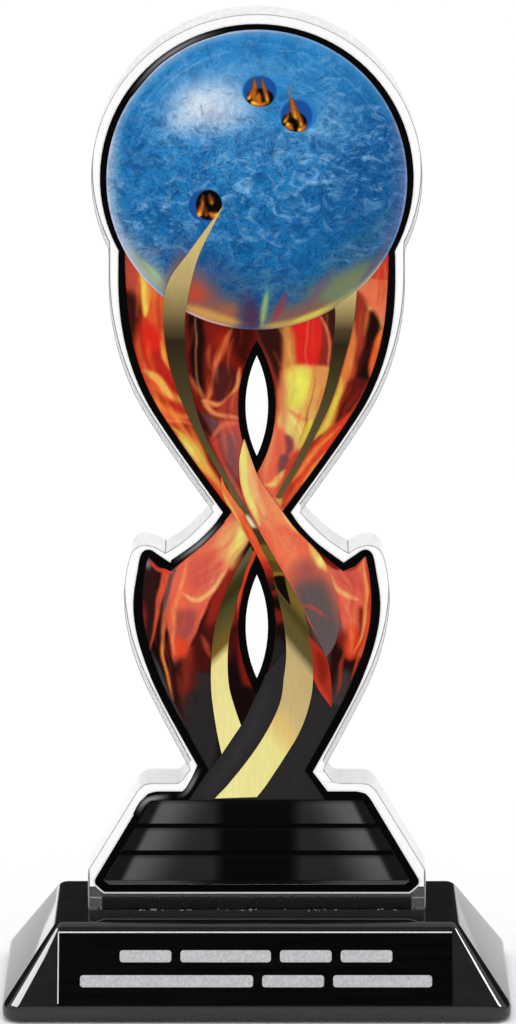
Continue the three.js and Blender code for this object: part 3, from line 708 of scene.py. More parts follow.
# Painted light: the cut edges emit a faint glow, standing in for light carried along inside the sheet.
PAINTED_EDGE_GLOW = 0.24  # how strongly the cut edges glow where they are seen through the sheet


def acrylic_material():
    """Clear sheet: polished faces, and frosted cut edges with painted light: they emit a glow of their own,
    stronger where seen from inside the sheet.
    """
    n = Nodes("clear_acrylic")
    geometry = n.add("ShaderNodeNewGeometry")
    facing = n.add("ShaderNodeSeparateXYZ", Vector=geometry.outputs["True Normal"])
    flat = n.span(n.math("ABSOLUTE", facing.outputs["Y"]), 0.80, 0.95)
    flat = n.math("MAXIMUM", flat, n.span(n.axis("Z"), 0.0310, 0.0285))
    grain = n.noise(1200, 4, 0.0, (1, 0.15, 1))
    frost = n.span(grain, 0.3, 0.7, 0.40, 0.55)
    # Painted light: emission on the cut edges, faint from outside and stronger where seen from inside.
    seen_inside = n.span(geometry.outputs["Backfacing"], 0.0, 1.0, 0.05, PAINTED_EDGE_GLOW)
    painted_edge_glow = n.math("MULTIPLY", seen_inside, n.span(flat, 1.0, 0.0))
    cut_edge = n.ramp(grain, (0.3, "#F8F9F9"), (0.7, "#FFFFFF"))
    n.set(Base_Color=n.mix(flat, cut_edge, (0.96, 0.963, 0.963, 1)),
          Transmission_Weight=n.span(flat, 0.0, 1.0, 0.30, 1.0),
          Roughness=n.mix(flat, frost, n.ramp(n.noise(300, 3), (0.4, 0.004), (0.7, 0.02))), IOR=1.49,
          Emission_Color=(1, 1, 1, 1), Emission_Strength=painted_edge_glow)
    return n.material


def grained(name, noise, dark, light, roughness, bump=None, **more):
    """A surface whose tone, roughness and bumps follow one grain."""
    n = Nodes(name)
    grain = n.noise(*noise)
    n.set(Base_Color=n.ramp(grain, (0.3, dark), (0.7, light)),
          Roughness=n.span(grain, 0.3, 0.7, *roughness), **more)
    if bump:
        n.bump(grain, *bump)
    return n.material


def dull_material(name, dark, light, roughness, scale=1800, depth=0.25):
    return grained(name, (scale, 5), dark, light, (roughness - 0.08, roughness + 0.05), (depth, 0.0001))


def silver_material(name, dark, light):
    noise = (1500, 4, 0.0, (1, 0.2, 1))
    return grained(name, noise, dark, light, (0.5, 0.65), (0.15, 0.00003), Metallic=0.2)


def black_plastic_material():
    """High-gloss moulding with faint ripples and fine dust in its finish."""
    n = Nodes("black_gloss")
    n.set(Base_Color=n.ramp(n.noise(220, 4), (0.35, "#0B0D0E"), (0.65, "#121517")),
          Roughness=n.ramp(n.noise(700, 5), (0.40, 0.05), (0.75, 0.085)), IOR=1.56)
    n.bump(n.noise(45, 2), 0.03, 0.00004)
    return n.material


def felt_material():
    n = Nodes("felt")
    fibres = n.math("ADD", n.noise(2600, 4, 1.5, (1, 0.25, 1)), n.noise(2600, 4, 1.5, (0.25, 1, 1)))
    n.set(Base_Color=n.ramp(n.span(fibres, 0.6, 1.4), (0.2, "#0B0B0B"), (0.8, "#1E1E1E")),
          Roughness=0.95, Sheen_Weight=0.4, Sheen_Roughness=0.5)
    n.bump(fibres, 0.6, 0.0002)
    return n.material


BLACK_INK = black_ink_material()
FLAME_INK = painted_material("flame_print", 0.08, (1.6, 1, 0.6))
PEDESTAL_INK = painted_material("pedestal_print", 0.04)

# ---- The picture ----
COLOUR_FRONT = node_face("print_outline_black", 0)  # front of the coloured ink
COLOUR_BACK = node_face("print_outline_black", 1)
BAND_FRONT = node_face("print_ribbon_gold_upper_left", 0) - 0.05
UNDER_FRONT = COLOUR_BACK + 0.01  # the flame sheet lies just behind the black outline
PRINT_FRONT = COLOUR_FRONT - 0.03  # front of the details printed over the coloured ink
FILM = 0.02  # thickness of a printed detail


def printed_grid(name, points, shape, front, paint, material=FLAME_INK):
    """A film of ink from a grid of painted points; shape is its rows and columns."""
    return slab(name, points, grid_quads(*shape), front, FILM, material, paint)


def make_flames():
    """Two sheets that meet at the waist. Their edges lie hidden behind the black outlines."""
    outline = body_outline()
    step = 0.3
    margin = 0.9  # how far they reach in under the outlines
    for name, low, high in (("flames_upper", WAIST, 195.2), ("flames_lower", 51.5, WAIST)):
        high = low + step * round((high - low) / step)
        points, quads = cells_inside(outline, margin, (UPPER_WINDOW, LOWER_WINDOW), step, low, high)
        sheet = slab(name, points, quads, UNDER_FRONT, FILM, FLAME_INK, painted_flames(points))
        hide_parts("print_" + name)


# The band that crosses in front at the waist, from yellow through orange to smoky red.
FRONT_BAND = """
area E4694A 2 1 -8,150 12,150 34,110 20,70 0,110
area E8885C 1.2 1 -3,147 2,137 8,128 4.6,124 0,127
strand E5DA76 2.6/2.6/2.4/0.8 0.8 1 -3.6,147 -3.2,139 -2.2,133 0.6,125
strand E9B978 1/2/1 0.9 0.7 -1.8,142 -0.6,134 2,127.4
strand EA8A5C 0.8/2.4/1.2 1 0.6 2,133 5,128.4 9,123.4
strand EDBE6C 0.3/0.7/0.4 0.3 0.85 6.2,128 8,125.4 10.4,122.6
area E87A52 1.2 0.7 3,124 7,123 11,117 9,112.6 5.4,117
area A8554A 2.4 1 9.4,114.4 15.4,114.6 21.6,102 24,88 17,86 12.4,98 8.6,105
area 5B5150 2.6 0.95 9.8,108.4 16.6,109.8 20.4,101 24,86 16,86 11.4,99
strand C4443A 0.4/1/0.4 0.4 0.7 10.6,103.6 13.6,103.4 17.4,100.8
strand EBC268 0.6/1.8/2.2/1 0.8 0.9 13.2,119.6 14.6,117.2 16.2,115 17.4,113
glow F2EC84 16,115.4 1.3,2 0.95
"""
FRONT_BAND_EDGES = """
strand E4583C 0.7 0.3 0.8 1,124 6.4,112.8 11,103.4 15,95.4
strand B23A36 0.3/0.5/0.5/0.3 0.2 0.85 -4.2,135 -3,130.8 -1.3,127.2 1,123
"""
FRONT_BAND_LICKS = (8, pairs("-3.6,142 -0.4,127 2.4,121 6,113.4"), pairs("0.4,138 7,127 10.6,123 14,117"),
                    "F0B886 DB553A EE8A60", 18, (0.3, 1.1), (0.15, 0.4), 0.35)
# The narrow strand left of the band, and the strip that branches off it down the lower window.
THIN_STRAND = """
area E07F48 1.4 0.8 -12,137 -5,134 -3,128 -8,128
strand E9B45C 0.5/1/0.6 0.35 0.8 -9.6,134.4 -7.2,130.4 -5.4,127.2 -3.6,124
strand E2683A 0.5/0.8/0.5 0.3 0.7 -5.2,129 -2.6,124.4 0,119.8
below B92C1E 116.6 114.6 1
below 8E1F19 114.4 112.4 1
below 4A1312 112.2 110.2 1
below 2A1010 110 108 1
"""
WINDOW_STRIP = """
below B42A1C 113 107 1
below 8A1B15 107 101 1
below 6A1611 103 97 1
strand DE6A48 0.2/0.4/0.2 0.25 0.7 -3.6,109.4 -4.4,106 -4.9,102.4
"""
# The stretch of ribbon between the strand and the band, bright where it bends.
GOLD_CROSSING = """
area F2ECC4 0.7 1 -2.9,126.9 -2,127 -0.4,124.6 -0.2,123.8 -1,123.9
area 3B341B 0.6 1 -1.4,123.5 0.6,123.6 2.8,119.6 0.6,119.5
area 675725 0.5 1 0.6,119.4 3,119.2 5.4,115 2.8,115.2
area 514112 0.8 1 2.6,115.4 5.6,115 6.6,113 3.6,113
area 8F6323 0.4 1 3.8,112.2 6.4,112.4 6.6,111.4 4.2,111.2
area 0B0704 0.3 1 3.6,110.8 7.4,110.9 9,103 4,106
"""
# Below the band: the tongue under its tip, and the dark band down to the pedestal.
RED_TONGUE = """
area 77190F 1 0.7 15,91.6 17.4,89.4 17.8,85 16,84
strand BE3A26 0.3/0.9/1.4/0.6 0.5 0.85 14.3,86 16,82 18.7,77.6
"""
DARK_BAND = """
strand 37343A 2/3/2 2 0.6 3,82 -3,68 -13,54
"""
# The edge that the thin strand and the gold ribbon share where they cross.
BEND = ("-4.7,129.9 -3.1,127.7 -2.3,125.6 -1.1,123.5 0,121.4 0.9,119.3 1.9,117.2 2.9,115.2 3.8,113.1 "
        "4.3,111 ")
# Name, left and right edges, rows and columns, ground colour, how far behind the band (in front where
# negative), and the table.
FRONT_STRIPS = [
    ("front_flame_band",
     "-3.2,147 -4.3,142 -4.35,138 -3.9,134.4 -3.1,131 -1.5,127.4 0.6,123.4 5,115.4 8,110 10.8,104.5 "
     "13.1,99.4 15.6,94.5 17.4,90.4",
     "-3.1,147 0,138.1 2.6,133.6 6.6,128 10,123.4 14.6,118.6 17.6,114 19.2,109.4 20.4,104.6 20.8,100 "
     "20.4,96 19.2,92.6 17.5,90.3",
     (220, 60), "#E4694A", 0.0, FRONT_BAND),
    ("gold_crossing", BEND + "5.1,108.4 7.2,105.4 8.4,103.9",
     "-2.1,129.8 -1.5,127.7 -0.4,125.6 0.6,123.5 1.7,121.4 3.0,119.3 4.3,117.2 5.4,115.2 6.4,113.1 7.0,111 "
     "7.4,109 8,106.4 8.5,103.8",
     (160, 16), "#574E30", 0.02, GOLD_CROSSING),
    ("thin_flame_strand",
     "-8.9,137.4 -8.9,134.4 -8.0,131.4 -6.5,128.8 -5.6,127.3 -4.2,124.9 -2,121 -0.6,118.3 0.35,116.4 "
     "1.0,115 1.65,113.4 2.1,112 2.7,110 3.3,107.6",
     "-8.8,137.4 -7.7,134.4 -6.3,132.2 " + BEND + "4.5,109.2 4.4,107.6",
     (160, 14), "#DA5029", -0.04, THIN_STRAND),
    ("red_window_strip",
     "-0.75,118.3 -1.9,115.2 -2.75,113.1 -3.35,111 -3.85,108.9 -4.6,106.8 -5.4,102.7 -5.9,100.2",
     "0,117.4 -1.05,115.2 -1.9,113.1 -2.5,111 -3.1,108.9 -3.6,106.8 -4.35,102.7 -4.6,100.2",
     (90, 8), "#CC3A22", -0.04, WINDOW_STRIP),
    ("red_flame_tongue", "13,95.8 13.9,91 14.2,88 14.3,84.8 15.6,81.6 18.8,77",
     "13.3,95.6 15.5,93.3 17.5,90.3 18.5,86.4 18.9,82 18.9,77", (70, 20), "#A62D1D", 0.02, RED_TONGUE),
    ("dark_front_band", "2.2,85.6 0,80.4 -4.2,71.7 -9.3,64 -12.6,59.6 -17.3,52.4",
     "7.1,92 6.9,86 5.8,78 1.6,69 -4.4,60.2 -11,52.4", (80, 24), "#2A2829", 0.02, DARK_BAND),
]


def make_front_strands():
    """What passes in front of the flames and the gold ribbons at the waist."""
    for name, left, right, shape, ground, behind, table in FRONT_STRIPS:
        points = strip_points(pairs(left), pairs(right), *shape)
        p = Paint(points, ground)
        p.rows(table)
        if name == "front_flame_band":
            p.licks(*FRONT_BAND_LICKS)
            p.rows(FRONT_BAND_EDGES)
        piece = printed_grid(name, points, shape, BAND_FRONT + behind, p.finished())


# The ball's broad highlight and its darker right side.
BALL_LIGHT = """
glow 5798CF 2,221 26,6 0.5
glow 74ADDA 17,227 9,8 0.6
glow 7DB0DC -3,240 22,4 0.35
area 79ABD9 3 0.75 -25,224 -21,236 -8,239.4 0,234 0,226 -12,223.6
area BFD4EA 3.2 0.85 -21,227 -17,235.6 -8,237 -3,232 -6,226.6 -14,225.4
glow E6EEF6 -13.5,231.4 7.5,4.6 0.75
glow 1866A8 -29,220 7,14 0.6
glow 164F8C 25,214 10,14 0.5
glow 1B62A2 -17,214 7,4 0.4
"""
# Flames shining through along the bottom and the sides.
BALL_FLAMES = """
strand 7E8FA0 1.5/6/6/3 3.6 0.8 -35,203 -31,195.6 -27,191 -19,187
glow 6A5C80 -25,195 4,2.6 0.6
strand A9A877 1/3/3.4/1.6 1.8 0.85 -33.6,197.6 -29.2,191 -24.6,187 -19.6,183
strand A8C48C 0.3/1.2/0.9 0.8 0.75 -28.2,192.4 -25.6,189.6 -23,186.6
strand 8C4A3E 0.4/1/0.6 0.8 0.7 -31,192 -27.6,187.4 -24,184
area 4A5680 4 0.7 -20,198 -13,195 -6,190 -3,178 -20,178
area 335273 4.5 0.6 -14,188 -2,189 12,188 15,181 4,174 -10,175
area 8A564C 3.4 0.9 -20,193 -15,190 -9.6,184 -4.4,180 -3,175 -22,176
glow C2482C -15.2,184.2 4,4.2 0.95
glow A0613F -7,180 5,2.6 0.8
strand CE9A46 1.6/2.6/2.2/0.8 1.1 0.95 -18,181 -12,178.8 -7,177.3 -2.6,176.6
area 3C3258 2 0.85 -3.6,183.6 0,184 1.4,174 -3.8,174
glow 562E3C -1.2,178.2 2,3.4 0.8
area 626A62 3.2 0.8 4,179 9,182 13,186 20,190.6 27,194 31,192 24,181 14,174 2,174
area 78805A 3 0.85 14,182.4 18.4,187.6 24,190.6 27.4,190 24,181
strand 3F6478 2/4.6/4/2 2.8 0.6 16,191 23,194.6 29,199 34,207
strand 6A4A66 1/2.2/1.2 1.4 0.65 11,179 15,184.4 18.6,190
area 8A5644 1.8 0.8 2.6,175 4.4,179 9,180.6 16,182 18,180.6 11,175.6
strand 4F949A 1.6/2/1 1.1 0.6 1.8,181 2.5,185 3,189.4
strand 98B06A 1.1/1.5/0.9 0.7 0.9 1.3,176.4 1.8,180 2.5,184.4
strand 94363E 0.8/2/1 1.1 0.85 4.2,177.6 5.6,180.4 7.2,184
strand 5C4656 0.6/1.8/1.6/0.8 0.9 0.7 24.6,185.4 28,189.4 31,194.6 33.4,201
strand C9A64C 0.8/1.5/1.7/0.9 0.9 0.9 1,175.8 8,176.6 15,179 21,182.6
strand B9AE62 0.5/1.2/0.6 0.8 0.7 21,182.6 26.6,186.6 31,192
strand 525C8C 1.6/4/3.4 2.4 0.7 34,231 36,218 35.4,206 31.6,196
glow 8E3346 35,227.6 1.6,2.2 0.8
strand 9A7A66 1.4/1.1/0.6 0.6 0.6 8.5,232.6 8.1,234.6 7.8,236.4
strand 9FB6C6 1.4/3.6/3/1.6 2.4 0.8 -35,228 -36.4,214 -35,203 -31.4,195
"""


def paint_ball(points):
    p = Paint(points, "#2A82C2")
    x, z = p.points.T
    p.over("#13629C", smooth(226, 192, z) * 0.78)
    p.over("#0F4A82", smooth(2, 34, x) * smooth(250, 226, z) * 0.5)
    p.rows(BALL_LIGHT)
    p.rows(BALL_FLAMES)
    rim = np.hypot(x / BALL_HALF[0], (z - BALL_CENTRE[1]) / BALL_HALF[1])
    left = smooth(20, -20, x)
    upper = 0.12 + 0.88 * smooth(178, 190, z)
    p.over("#9DBBDD", smooth(0.93, 0.99, rim) * (0.15 + 0.4 * left) * upper)
    p.over("#D2C8DC", smooth(0.984, 0.992, rim) * (0.35 + 0.4 * left) * upper)
    p.rows("""
strand DDB0A2 0.5/0.6/0.3 0.2 0.8 -18,180 -12,177.3 -6,175.7
strand D6CC50 0.5/1.1/1/0.5 0.5 0.8 9,177 14,178.8 17.6,180.6
""")
    shine = np.exp(-2.2 * np.hypot((x + 12) / 12, (z - 231) / 8) ** 2)
    warm = smooth(-0.30, -0.02, p.colour[:, 0] - p.colour[:, 2]) * smooth(202, 196, z)
    p.extra = np.clip(1 - 0.5 * smooth(0.92, 0.98, rim) - 0.95 * warm - 0.5 * shine, 0.05, 1)
    scratches(p)
    return p.finished()


def scratches(p):
    """Fine dark nicks all over the ball, and faint long arcs round its top where it was polished."""
    random = np.random.default_rng(11)
    for _ in range(70):
        turn, reach = random.uniform(0, 6.28), 33 * math.sqrt(random.uniform(0, 1))
        centre = np.array([reach * math.cos(turn), 217 + reach * math.sin(turn)])
        lean = random.uniform(0, 3.14)
        half = random.uniform(0.4, 1.9) * np.array([math.cos(lean), math.sin(lean)])
        p.strand("#123A63", 0.2, 0.2, [centre - half, centre + random.uniform(-0.2, 0.2, 2), centre + half],
                 random.uniform(0.3, 0.8))
    for _ in range(26):
        reach, start = random.uniform(24, 34), random.uniform(15, 150)
        route = arc((0, 213), reach, start, start + random.uniform(12, 40), 5)
        p.strand("#9CC4E6", 0.3, 0.3, route, random.uniform(0.12, 0.35))


def make_ball():
    count = 210
    points = disc_points(BALL_CENTRE, BALL_HALF, count)
    ball = slab("ball_print", points, grid_quads(count, count), COLOUR_FRONT, FILM, ball_material(),
                paint_ball(points))
    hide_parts("print_ball")


def tongue(p, width, heat, route):
    """One flame: smoky at its tip, orange along it and yellow at its foot."""
    p.strand("#5A2A12", (1.3 * width, 1.2 * width, 0.6 * width), 0.6, route, 0.75)
    p.strand("#D9701F", (width, 0.8 * width, 0.2 * width), 0.45, route, 0.9 * heat)
    p.strand("#FFC62E", (0.9 * width, 0.4 * width, 0.1), 0.35, route[:2], 0.95 * heat)


def make_hole(name, centre, half, wall, depth, tongues):
    """A finger hole: a pale rim, a shaded blue wall and a black depth with flames in it. The wall and
    the depth are each given as an offset from the centre and two half sizes. Each row of tongues is a
    width, a heat and a route from the centre."""
    count = 72
    points = disc_points(centre, half, count)
    p = Paint(points, "#2B78BE")
    offset = p.points - centre
    away = np.hypot(*(offset / half).T)
    p.over("#4A93CE", smooth(0.86, 1.0, away) * 0.5)
    for (where, size), colour, soft in ((wall, "#194F9A", 0.10), (depth, "#060404", 0.07)):
        reach = np.hypot(*((offset - where) / size).T)
        p.over(colour, smooth(1 + soft, 1 - soft, reach) * smooth(1.03, 0.97, away))
    for row in tongues.strip().splitlines():
        width, heat, *route = row.split()
        tongue(p, float(width), float(heat), np.add(pairs(route), centre))
    hole = printed_grid(name, points, (count, count), PRINT_FRONT, p.finished())


def make_holes():
    make_hole("finger_hole_left", (0.8, 235.2), (4.4, 4.0), ((0, -0.1), (4.1, 3.8)),
              ((0, -1.7), (3.3, 2.3)), """
1.5 0.8 -1.6,-2 -1.5,0 -1.3,1.6 -1.4,3
1 0.8 1.9,-2.8 1.5,-1 1,0.8 0.5,3
1.2 0.8 -2.9,-2 -2.3,-1.2 -2,-0.4 -1.7,0.6
2 1 -0.2,-3 -0.6,-2.4 -0.4,-1.4 -0.3,-0.6
1.4 1 -2,-2.9 -0.4,-3.4 0.8,-3.3 2,-2.8
""")
    make_hole("finger_hole_right", (10.2, 229.4), (4.8, 4.5), ((-0.4, -0.4), (3.9, 3.9)),
              ((-1.0, -2.0), (3.1, 2.5)), """
1.7 0.75 -0.4,-1 -1,0.8 -1.4,2.4 -1.8,4.3
0.9 0.8 -3.4,-2 -2.9,-1.2 -2.6,-0.6 -2.5,0.2
1.1 0.85 0.9,-3.4 0.6,-2 0.2,-0.6 -0.4,0.8
1.6 1 -2.6,-2.4 -2.4,-2.9 -1.9,-3.4 -1.3,-3.9
1.2 1 0.1,-4 0.9,-3.7 1.4,-3.3 1.7,-2.7
""")
    make_hole("thumb_hole", (-12.6, 206.5), (4.3, 4.1), ((-0.2, -0.1), (4.2, 4.1)),
              ((0.8, 0.1), (3.2, 3.8)), """
1.5 0.9 -1.7,-2.6 -1.3,-1.4 -0.9,-0.2 -0.6,1
0.9 0.3 -0.8,0.4 -0.9,1.2 -0.7,2 -0.8,2.6
1.2 0.45 1.5,0.4 1.4,1.2 1.1,2 0.9,2.8
0.8 0.3 0.1,-2.6 0.1,-2 0,-1.2 0.1,-0.6
1.7 1 3.1,-2.5 2,-2.6 1.3,-2.2 0.7,-1.9
""")


def make_pedestal():
    """Three stepped tiers under a dark outline, each lit near its ends and black in the middle."""
    def edge(z):
        return 27.2 + (51.8 - z) * 0.557

    def tier_points(top, bottom, shape):
        """top and bottom are each a half width and a height."""
        left, right = ([(side * x, z) for x, z in (top, bottom)] for side in (-1, 1))
        return strip_points(left, right, *shape)

    points = tier_points((edge(52.2), 52.2), (edge(30.6), 30.6), (4, 20))
    ground = slab("pedestal_ground", points, grid_quads(4, 20), COLOUR_FRONT - 0.005, 0.01, BLACK_INK)
    shape = (14, 200)
    for name, top, bottom in (("top", 52.2, 46.1), ("middle", 44.9, 38.9), ("foot", 37.6, 30.9)):
        points = tier_points((edge(top), top), (edge(bottom), bottom), shape)
        p = Paint(points, "#050505")
        reach = np.abs(p.points[:, 0])
        side = reach - (25 + (51.5 - p.points[:, 1]) * 0.473)
        p.over("#5A5A5A", smooth(7.6, 12, reach) * 0.40 + 0.60 * smooth(-15, -2, side))
        p.over("#181819", smooth(-1.3, 0.5, side))
        p.over("#101011", smooth(0.82, 1.0, (p.points[:, 1] - bottom) / (top - bottom)) * 0.45)
        tier = printed_grid("pedestal_" + name, points, shape, PRINT_FRONT, p.finished(), PEDESTAL_INK)
    points = tier_points((edge(30.7), 30.8), (37.6, 29.8), (4, 120))
    p = Paint(points, "#0A0A0B")
    p.over("#4A4A4B", smooth(6, 26, np.abs(points[:, 0])))
    bevel = printed_grid("pedestal_bevel", points, (4, 120), PRINT_FRONT, p.finished(), PEDESTAL_INK)


def keyline_gloss():
    """Soft grey reflections printed on the black outline."""
    routes = [
        ("gloss_head", "-31.6,233.8 -24.6,241.9 -16.2,247.4 -7.4,250.4", 1.5, "#7C7C7E"),
        ("gloss_waist", "-8.6,126 -12.2,121.9 -15.6,118.8 -21.2,114.8", 1.6, "#838385"),
        ("gloss_shoulder", "-30.6,48.2 -29,51.2 -26.8,52.7 -21.6,53.4", 1.9, "#8A8A8C"),
        ("gloss_neck", "-20.6,53.3 -18.2,54.2 -16.2,57.2 -14.4,61.2", 1.6, "#6E6E70"),
    ]
    length, breadth = 40, 11
    across = np.linspace(-1, 1, breadth)
    fade = np.sin(np.pi * np.linspace(0, 1, length))[:, None] * (1 - across**2)[None, :]
    for name, route, width, colour in routes:
        middle = along(pairs(route), np.linspace(0, 1, length))
        side = np.gradient(middle, axis=0)
        side = np.column_stack([-side[:, 1], side[:, 0]]) / np.linalg.norm(side, axis=1)[:, None]
        points = (middle[:, None] + side[:, None] * across[None, :, None] * width / 2).reshape(-1, 2)
        p = Paint(points, "#050506")
        p.over(colour, fade.ravel())
        piece = printed_grid(name, points, (length, breadth), PRINT_FRONT, p.finished(), PEDESTAL_INK)


def dress_cad_prints():
    """CAD films whose shape is right keep it and take finished materials."""
    ribbons = {
        "upper_left": (0.0, "207 D0B87A 196 CBB375 187 B7A069 181 8E7C50 176 5A4C30 172 2C2415 166 39301C "
                            "156 4A4128 142 574E30 127 665B39"),
        "upper_right": (0.0, "185 CDB57B 180 A08D5C 175 4C4028 171 2A2314 164 3D341E 154 50472B 142 574E30 "
                             "131 5F5536"),
        "lower_left": (-1.05, "121 565036 118.5 5C573A 116 3C3718 113.5 332E12 111 4A4320 107 5A4F26 "
                              "102 7A5A20 99.2 E9DC90 70 EFE59A"),
        "lower_right": (1.27, "126 3A3318 120 6A5822 117 78622A 113.5 463D1B 110 5E5228 106 5C5130 "
                              "102.6 C2AA74 88 C8B078 79 E2C274 72 EADF8E 40 EFE99C"),
    }
    for side, (tilt, stops) in ribbons.items():
        nodes["print_ribbon_gold_" + side].data.materials[0] = gold_material("gold_" + side, tilt, stops)
    for name in ("outline_black", "window_line_upper", "window_line_lower", "pedestal"):
        nodes["print_" + name].data.materials[0] = BLACK_INK
    nodes["print_white_underbase"].data.materials[0] = white_ink_material()


def smooth_shading(node, sharpest=28):
    """Modifiers that join a CAD node's facets and shade it smooth, except at edges sharper than so
    many degrees."""
    node.modifiers.new("joined_facets", "WELD").merge_threshold = 0.001 * MM
    tree = bpy.data.node_groups.get("smooth_by_angle")
    if tree is None:
        tree = bpy.data.node_groups.new("smooth_by_angle", "GeometryNodeTree")
        tree.interface.new_socket("Geometry", in_out="INPUT", socket_type="NodeSocketGeometry")
        tree.interface.new_socket("Geometry", in_out="OUTPUT", socket_type="NodeSocketGeometry")
        start, end = tree.nodes.new("NodeGroupInput"), tree.nodes.new("NodeGroupOutput")
        faces, edges = (tree.nodes.new("GeometryNodeSetShadeSmooth") for _ in range(2))
        faces.domain, edges.domain = "FACE", "EDGE"
        angle = tree.nodes.new("GeometryNodeInputMeshEdgeAngle")
        sharp = tree.nodes.new("ShaderNodeMath")
        sharp.operation = "GREATER_THAN"
        sharp.inputs[1].default_value = math.radians(sharpest)
        edges.inputs["Shade Smooth"].default_value = False
        for out, into in ((start.outputs[0], faces.inputs[0]), (faces.outputs[0], edges.inputs[0]),
                          (angle.outputs["Unsigned Angle"], sharp.inputs[0]),
                          (sharp.outputs[0], edges.inputs["Selection"]), (edges.outputs[0], end.inputs[0])):
            tree.links.new(out, into)
    node.modifiers.new("smooth_by_angle", "NODES").node_group = tree


def soft_edges(node, width, segments=3, sharpest=28, clamp=True):
    """Rounds a CAD node's sharp edges and shades it smooth."""
    smooth_shading(node, sharpest)
    bevel = node.modifiers.new("soft_edges", "BEVEL")
    bevel.width, bevel.segments, bevel.limit_method = width * MM, segments, "ANGLE"
    bevel.angle_limit = math.radians(sharpest)
    bevel.harden_normals = True
    bevel.use_clamp_overlap = clamp
    return bevel


def dress_base():
    steel = grained("plain_steel", (700, 5, 0.0, (0.15, 1, 1)), "#9C9EA0", "#BFC1C2", (0.28, 0.42),
                    (0.1, 0.00005), Metallic=1.0)
    finishes = {
        "base_shell": black_plastic_material(),
        "plaque_acrylic": acrylic_material(),
        "bottom_cover": dull_material("cover_grain", "#0C0C0C", "#191919", 0.6),
        "felt_pad": felt_material(),
        "nameplate_tape": dull_material("foam_tape", "#BDBDB8", "#D6D6D0", 0.8),
        "slot_adhesive": dull_material("cured_glue", "#A9AEAB", "#C9CDCA", 0.35, 400),
        **{name: steel for name in nodes if name.startswith(("weight_bar", "cover_screw"))},
    }
    for name, finish in finishes.items():
        nodes[name].data.materials[0] = finish
    soft_edges(nodes["base_shell"], 0.5)
    # The narrow chamfers round the sheet are painted grey: painted shade standing in for the dark lines
    # that its edges show.
    rim = grained("acrylic_rim_painted_shade", (900, 4), "#A0A4A4", "#B6BABA", (0.4, 0.6), Specular_IOR_Level=0.2)
    nodes["plaque_acrylic"].data.materials.append(rim)
    soft_edges(nodes["plaque_acrylic"], 0.22, 1, 50, clamp=False).material = 1


dress_cad_prints()
dress_base()
make_flames()
make_front_strands()
make_ball()
make_holes()
make_pedestal()
keyline_gloss()

# ---- The engraved plate ----


def plate_axes():
    """The plate's middle, and its directions to the right, up the slope and out of it, in millimetres."""
    low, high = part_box("nameplate")
    verts = np.array([v.co for v in nodes["nameplate"].data.vertices])
    right = np.array([1.0, 0, 0])
    foot = verts[verts[:, 2] < low.z + 0.6 * MM].mean(0)
    head = verts[verts[:, 2] > high.z - 0.6 * MM].mean(0)
    up = (head - foot) * (0, 1, 1)
    up /= np.linalg.norm(up)
    out = np.cross(right, up)
    return verts.mean(0) / MM, right, up, out * (1 if out[1] < 0 else -1)


def rounded_box(name, centre, size, corner, material, axes):
    """A low tablet with rounded corners; size is (right, up, thick) in millimetres."""
    right, up, out = axes
    half = np.array(size[:2]) / 2 - corner
    ring = []
    for k, (sx, sy) in enumerate(((1, 1), (-1, 1), (-1, -1), (1, -1))):
        for turn in np.radians(np.linspace(90 * k, 90 * k + 90, 7)):
            ring.append((sx * half[0] + corner * math.cos(turn), sy * half[1] + corner * math.sin(turn)))
    ring = np.array(ring)
    shrink = 1 - 0.35 * size[2] / (np.array(size[:2]) / 2)
    layers = [(ring, 0.0), (ring, 0.65 * size[2]), (ring * shrink, size[2])]
    verts = [centre + right * x + up * z + out * rise for outline, rise in layers for x, z in outline]
    count = len(ring)
    faces = [[i, (i + 1) % count, (i + 1) % count + count, i + count] for i in range(count)]
    faces += [[f + count for f in face] for face in faces]
    faces += [list(range(count))[::-1], list(range(2 * count, 3 * count))]
    return mesh_object(name, np.array(verts) * MM, faces, material)


def make_plate():
    centre, right, up, out = plate_axes()
    axes = (right, up, out)
    nodes["nameplate"].data.materials[0] = grained(
        "plate_black", (500, 5, 0.0, (0.05, 1, 1)), "#000000", "#030303", (0.36, 0.48), (0.04, 0.00002),
        Specular_IOR_Level=0.03)
    low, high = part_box("nameplate")
    width = (high.x - low.x) / MM
    height = np.linalg.norm([(high.z - low.z), (high.y - low.y)]) / MM - 0.3
    surface = centre + out * 0.31  # just proud of the plate's face
    inset, gap = 0.25, 2.3  # of the trims from the edge, and between two words
    silver = silver_material("bevel_highlight_silver", "#BDBDBF", "#D9D9DB")
    engraved = silver_material("engraved_silver", "#9C9C9F", "#BCBCBF")
    # Silver bevel strips on the top and left edges only: a real silver bevel, but placed as a painted
    # highlight where the light catches it; the other edges have none.
    trims = [("plate_edge_top_highlight", 0, height / 2 - inset, width - 0.2, 0.36),
             ("plate_edge_left_highlight", -width / 2 + inset, 0, 0.3, height - 0.4)]
    for name, x, z, wide, tall in trims:
        piece = rounded_box(name, surface + right * x + up * z, (wide, tall, 0.06), 0.12, silver, axes)
    # The height and length of each row, and how many letters each of its words would have.
    rows = [(3.0, 69.0, (4, 7, 4, 4)), (-3.4, 89.0, (14, 5, 8))]
    for row, (z, length, words) in enumerate(rows):
        unit = (length - gap * (len(words) - 1)) / sum(words)
        x = -length / 2 + 0.3
        for k, letters in enumerate(words):
            wide = unit * letters
            middle = surface + right * (x + wide / 2) + up * z
            piece = rounded_box(f"engraved_bar_{row + 1}_{k + 1}", middle, (wide, 3.1, 0.07), 0.8, engraved,
                                axes)
            x += wide + gap


make_plate()


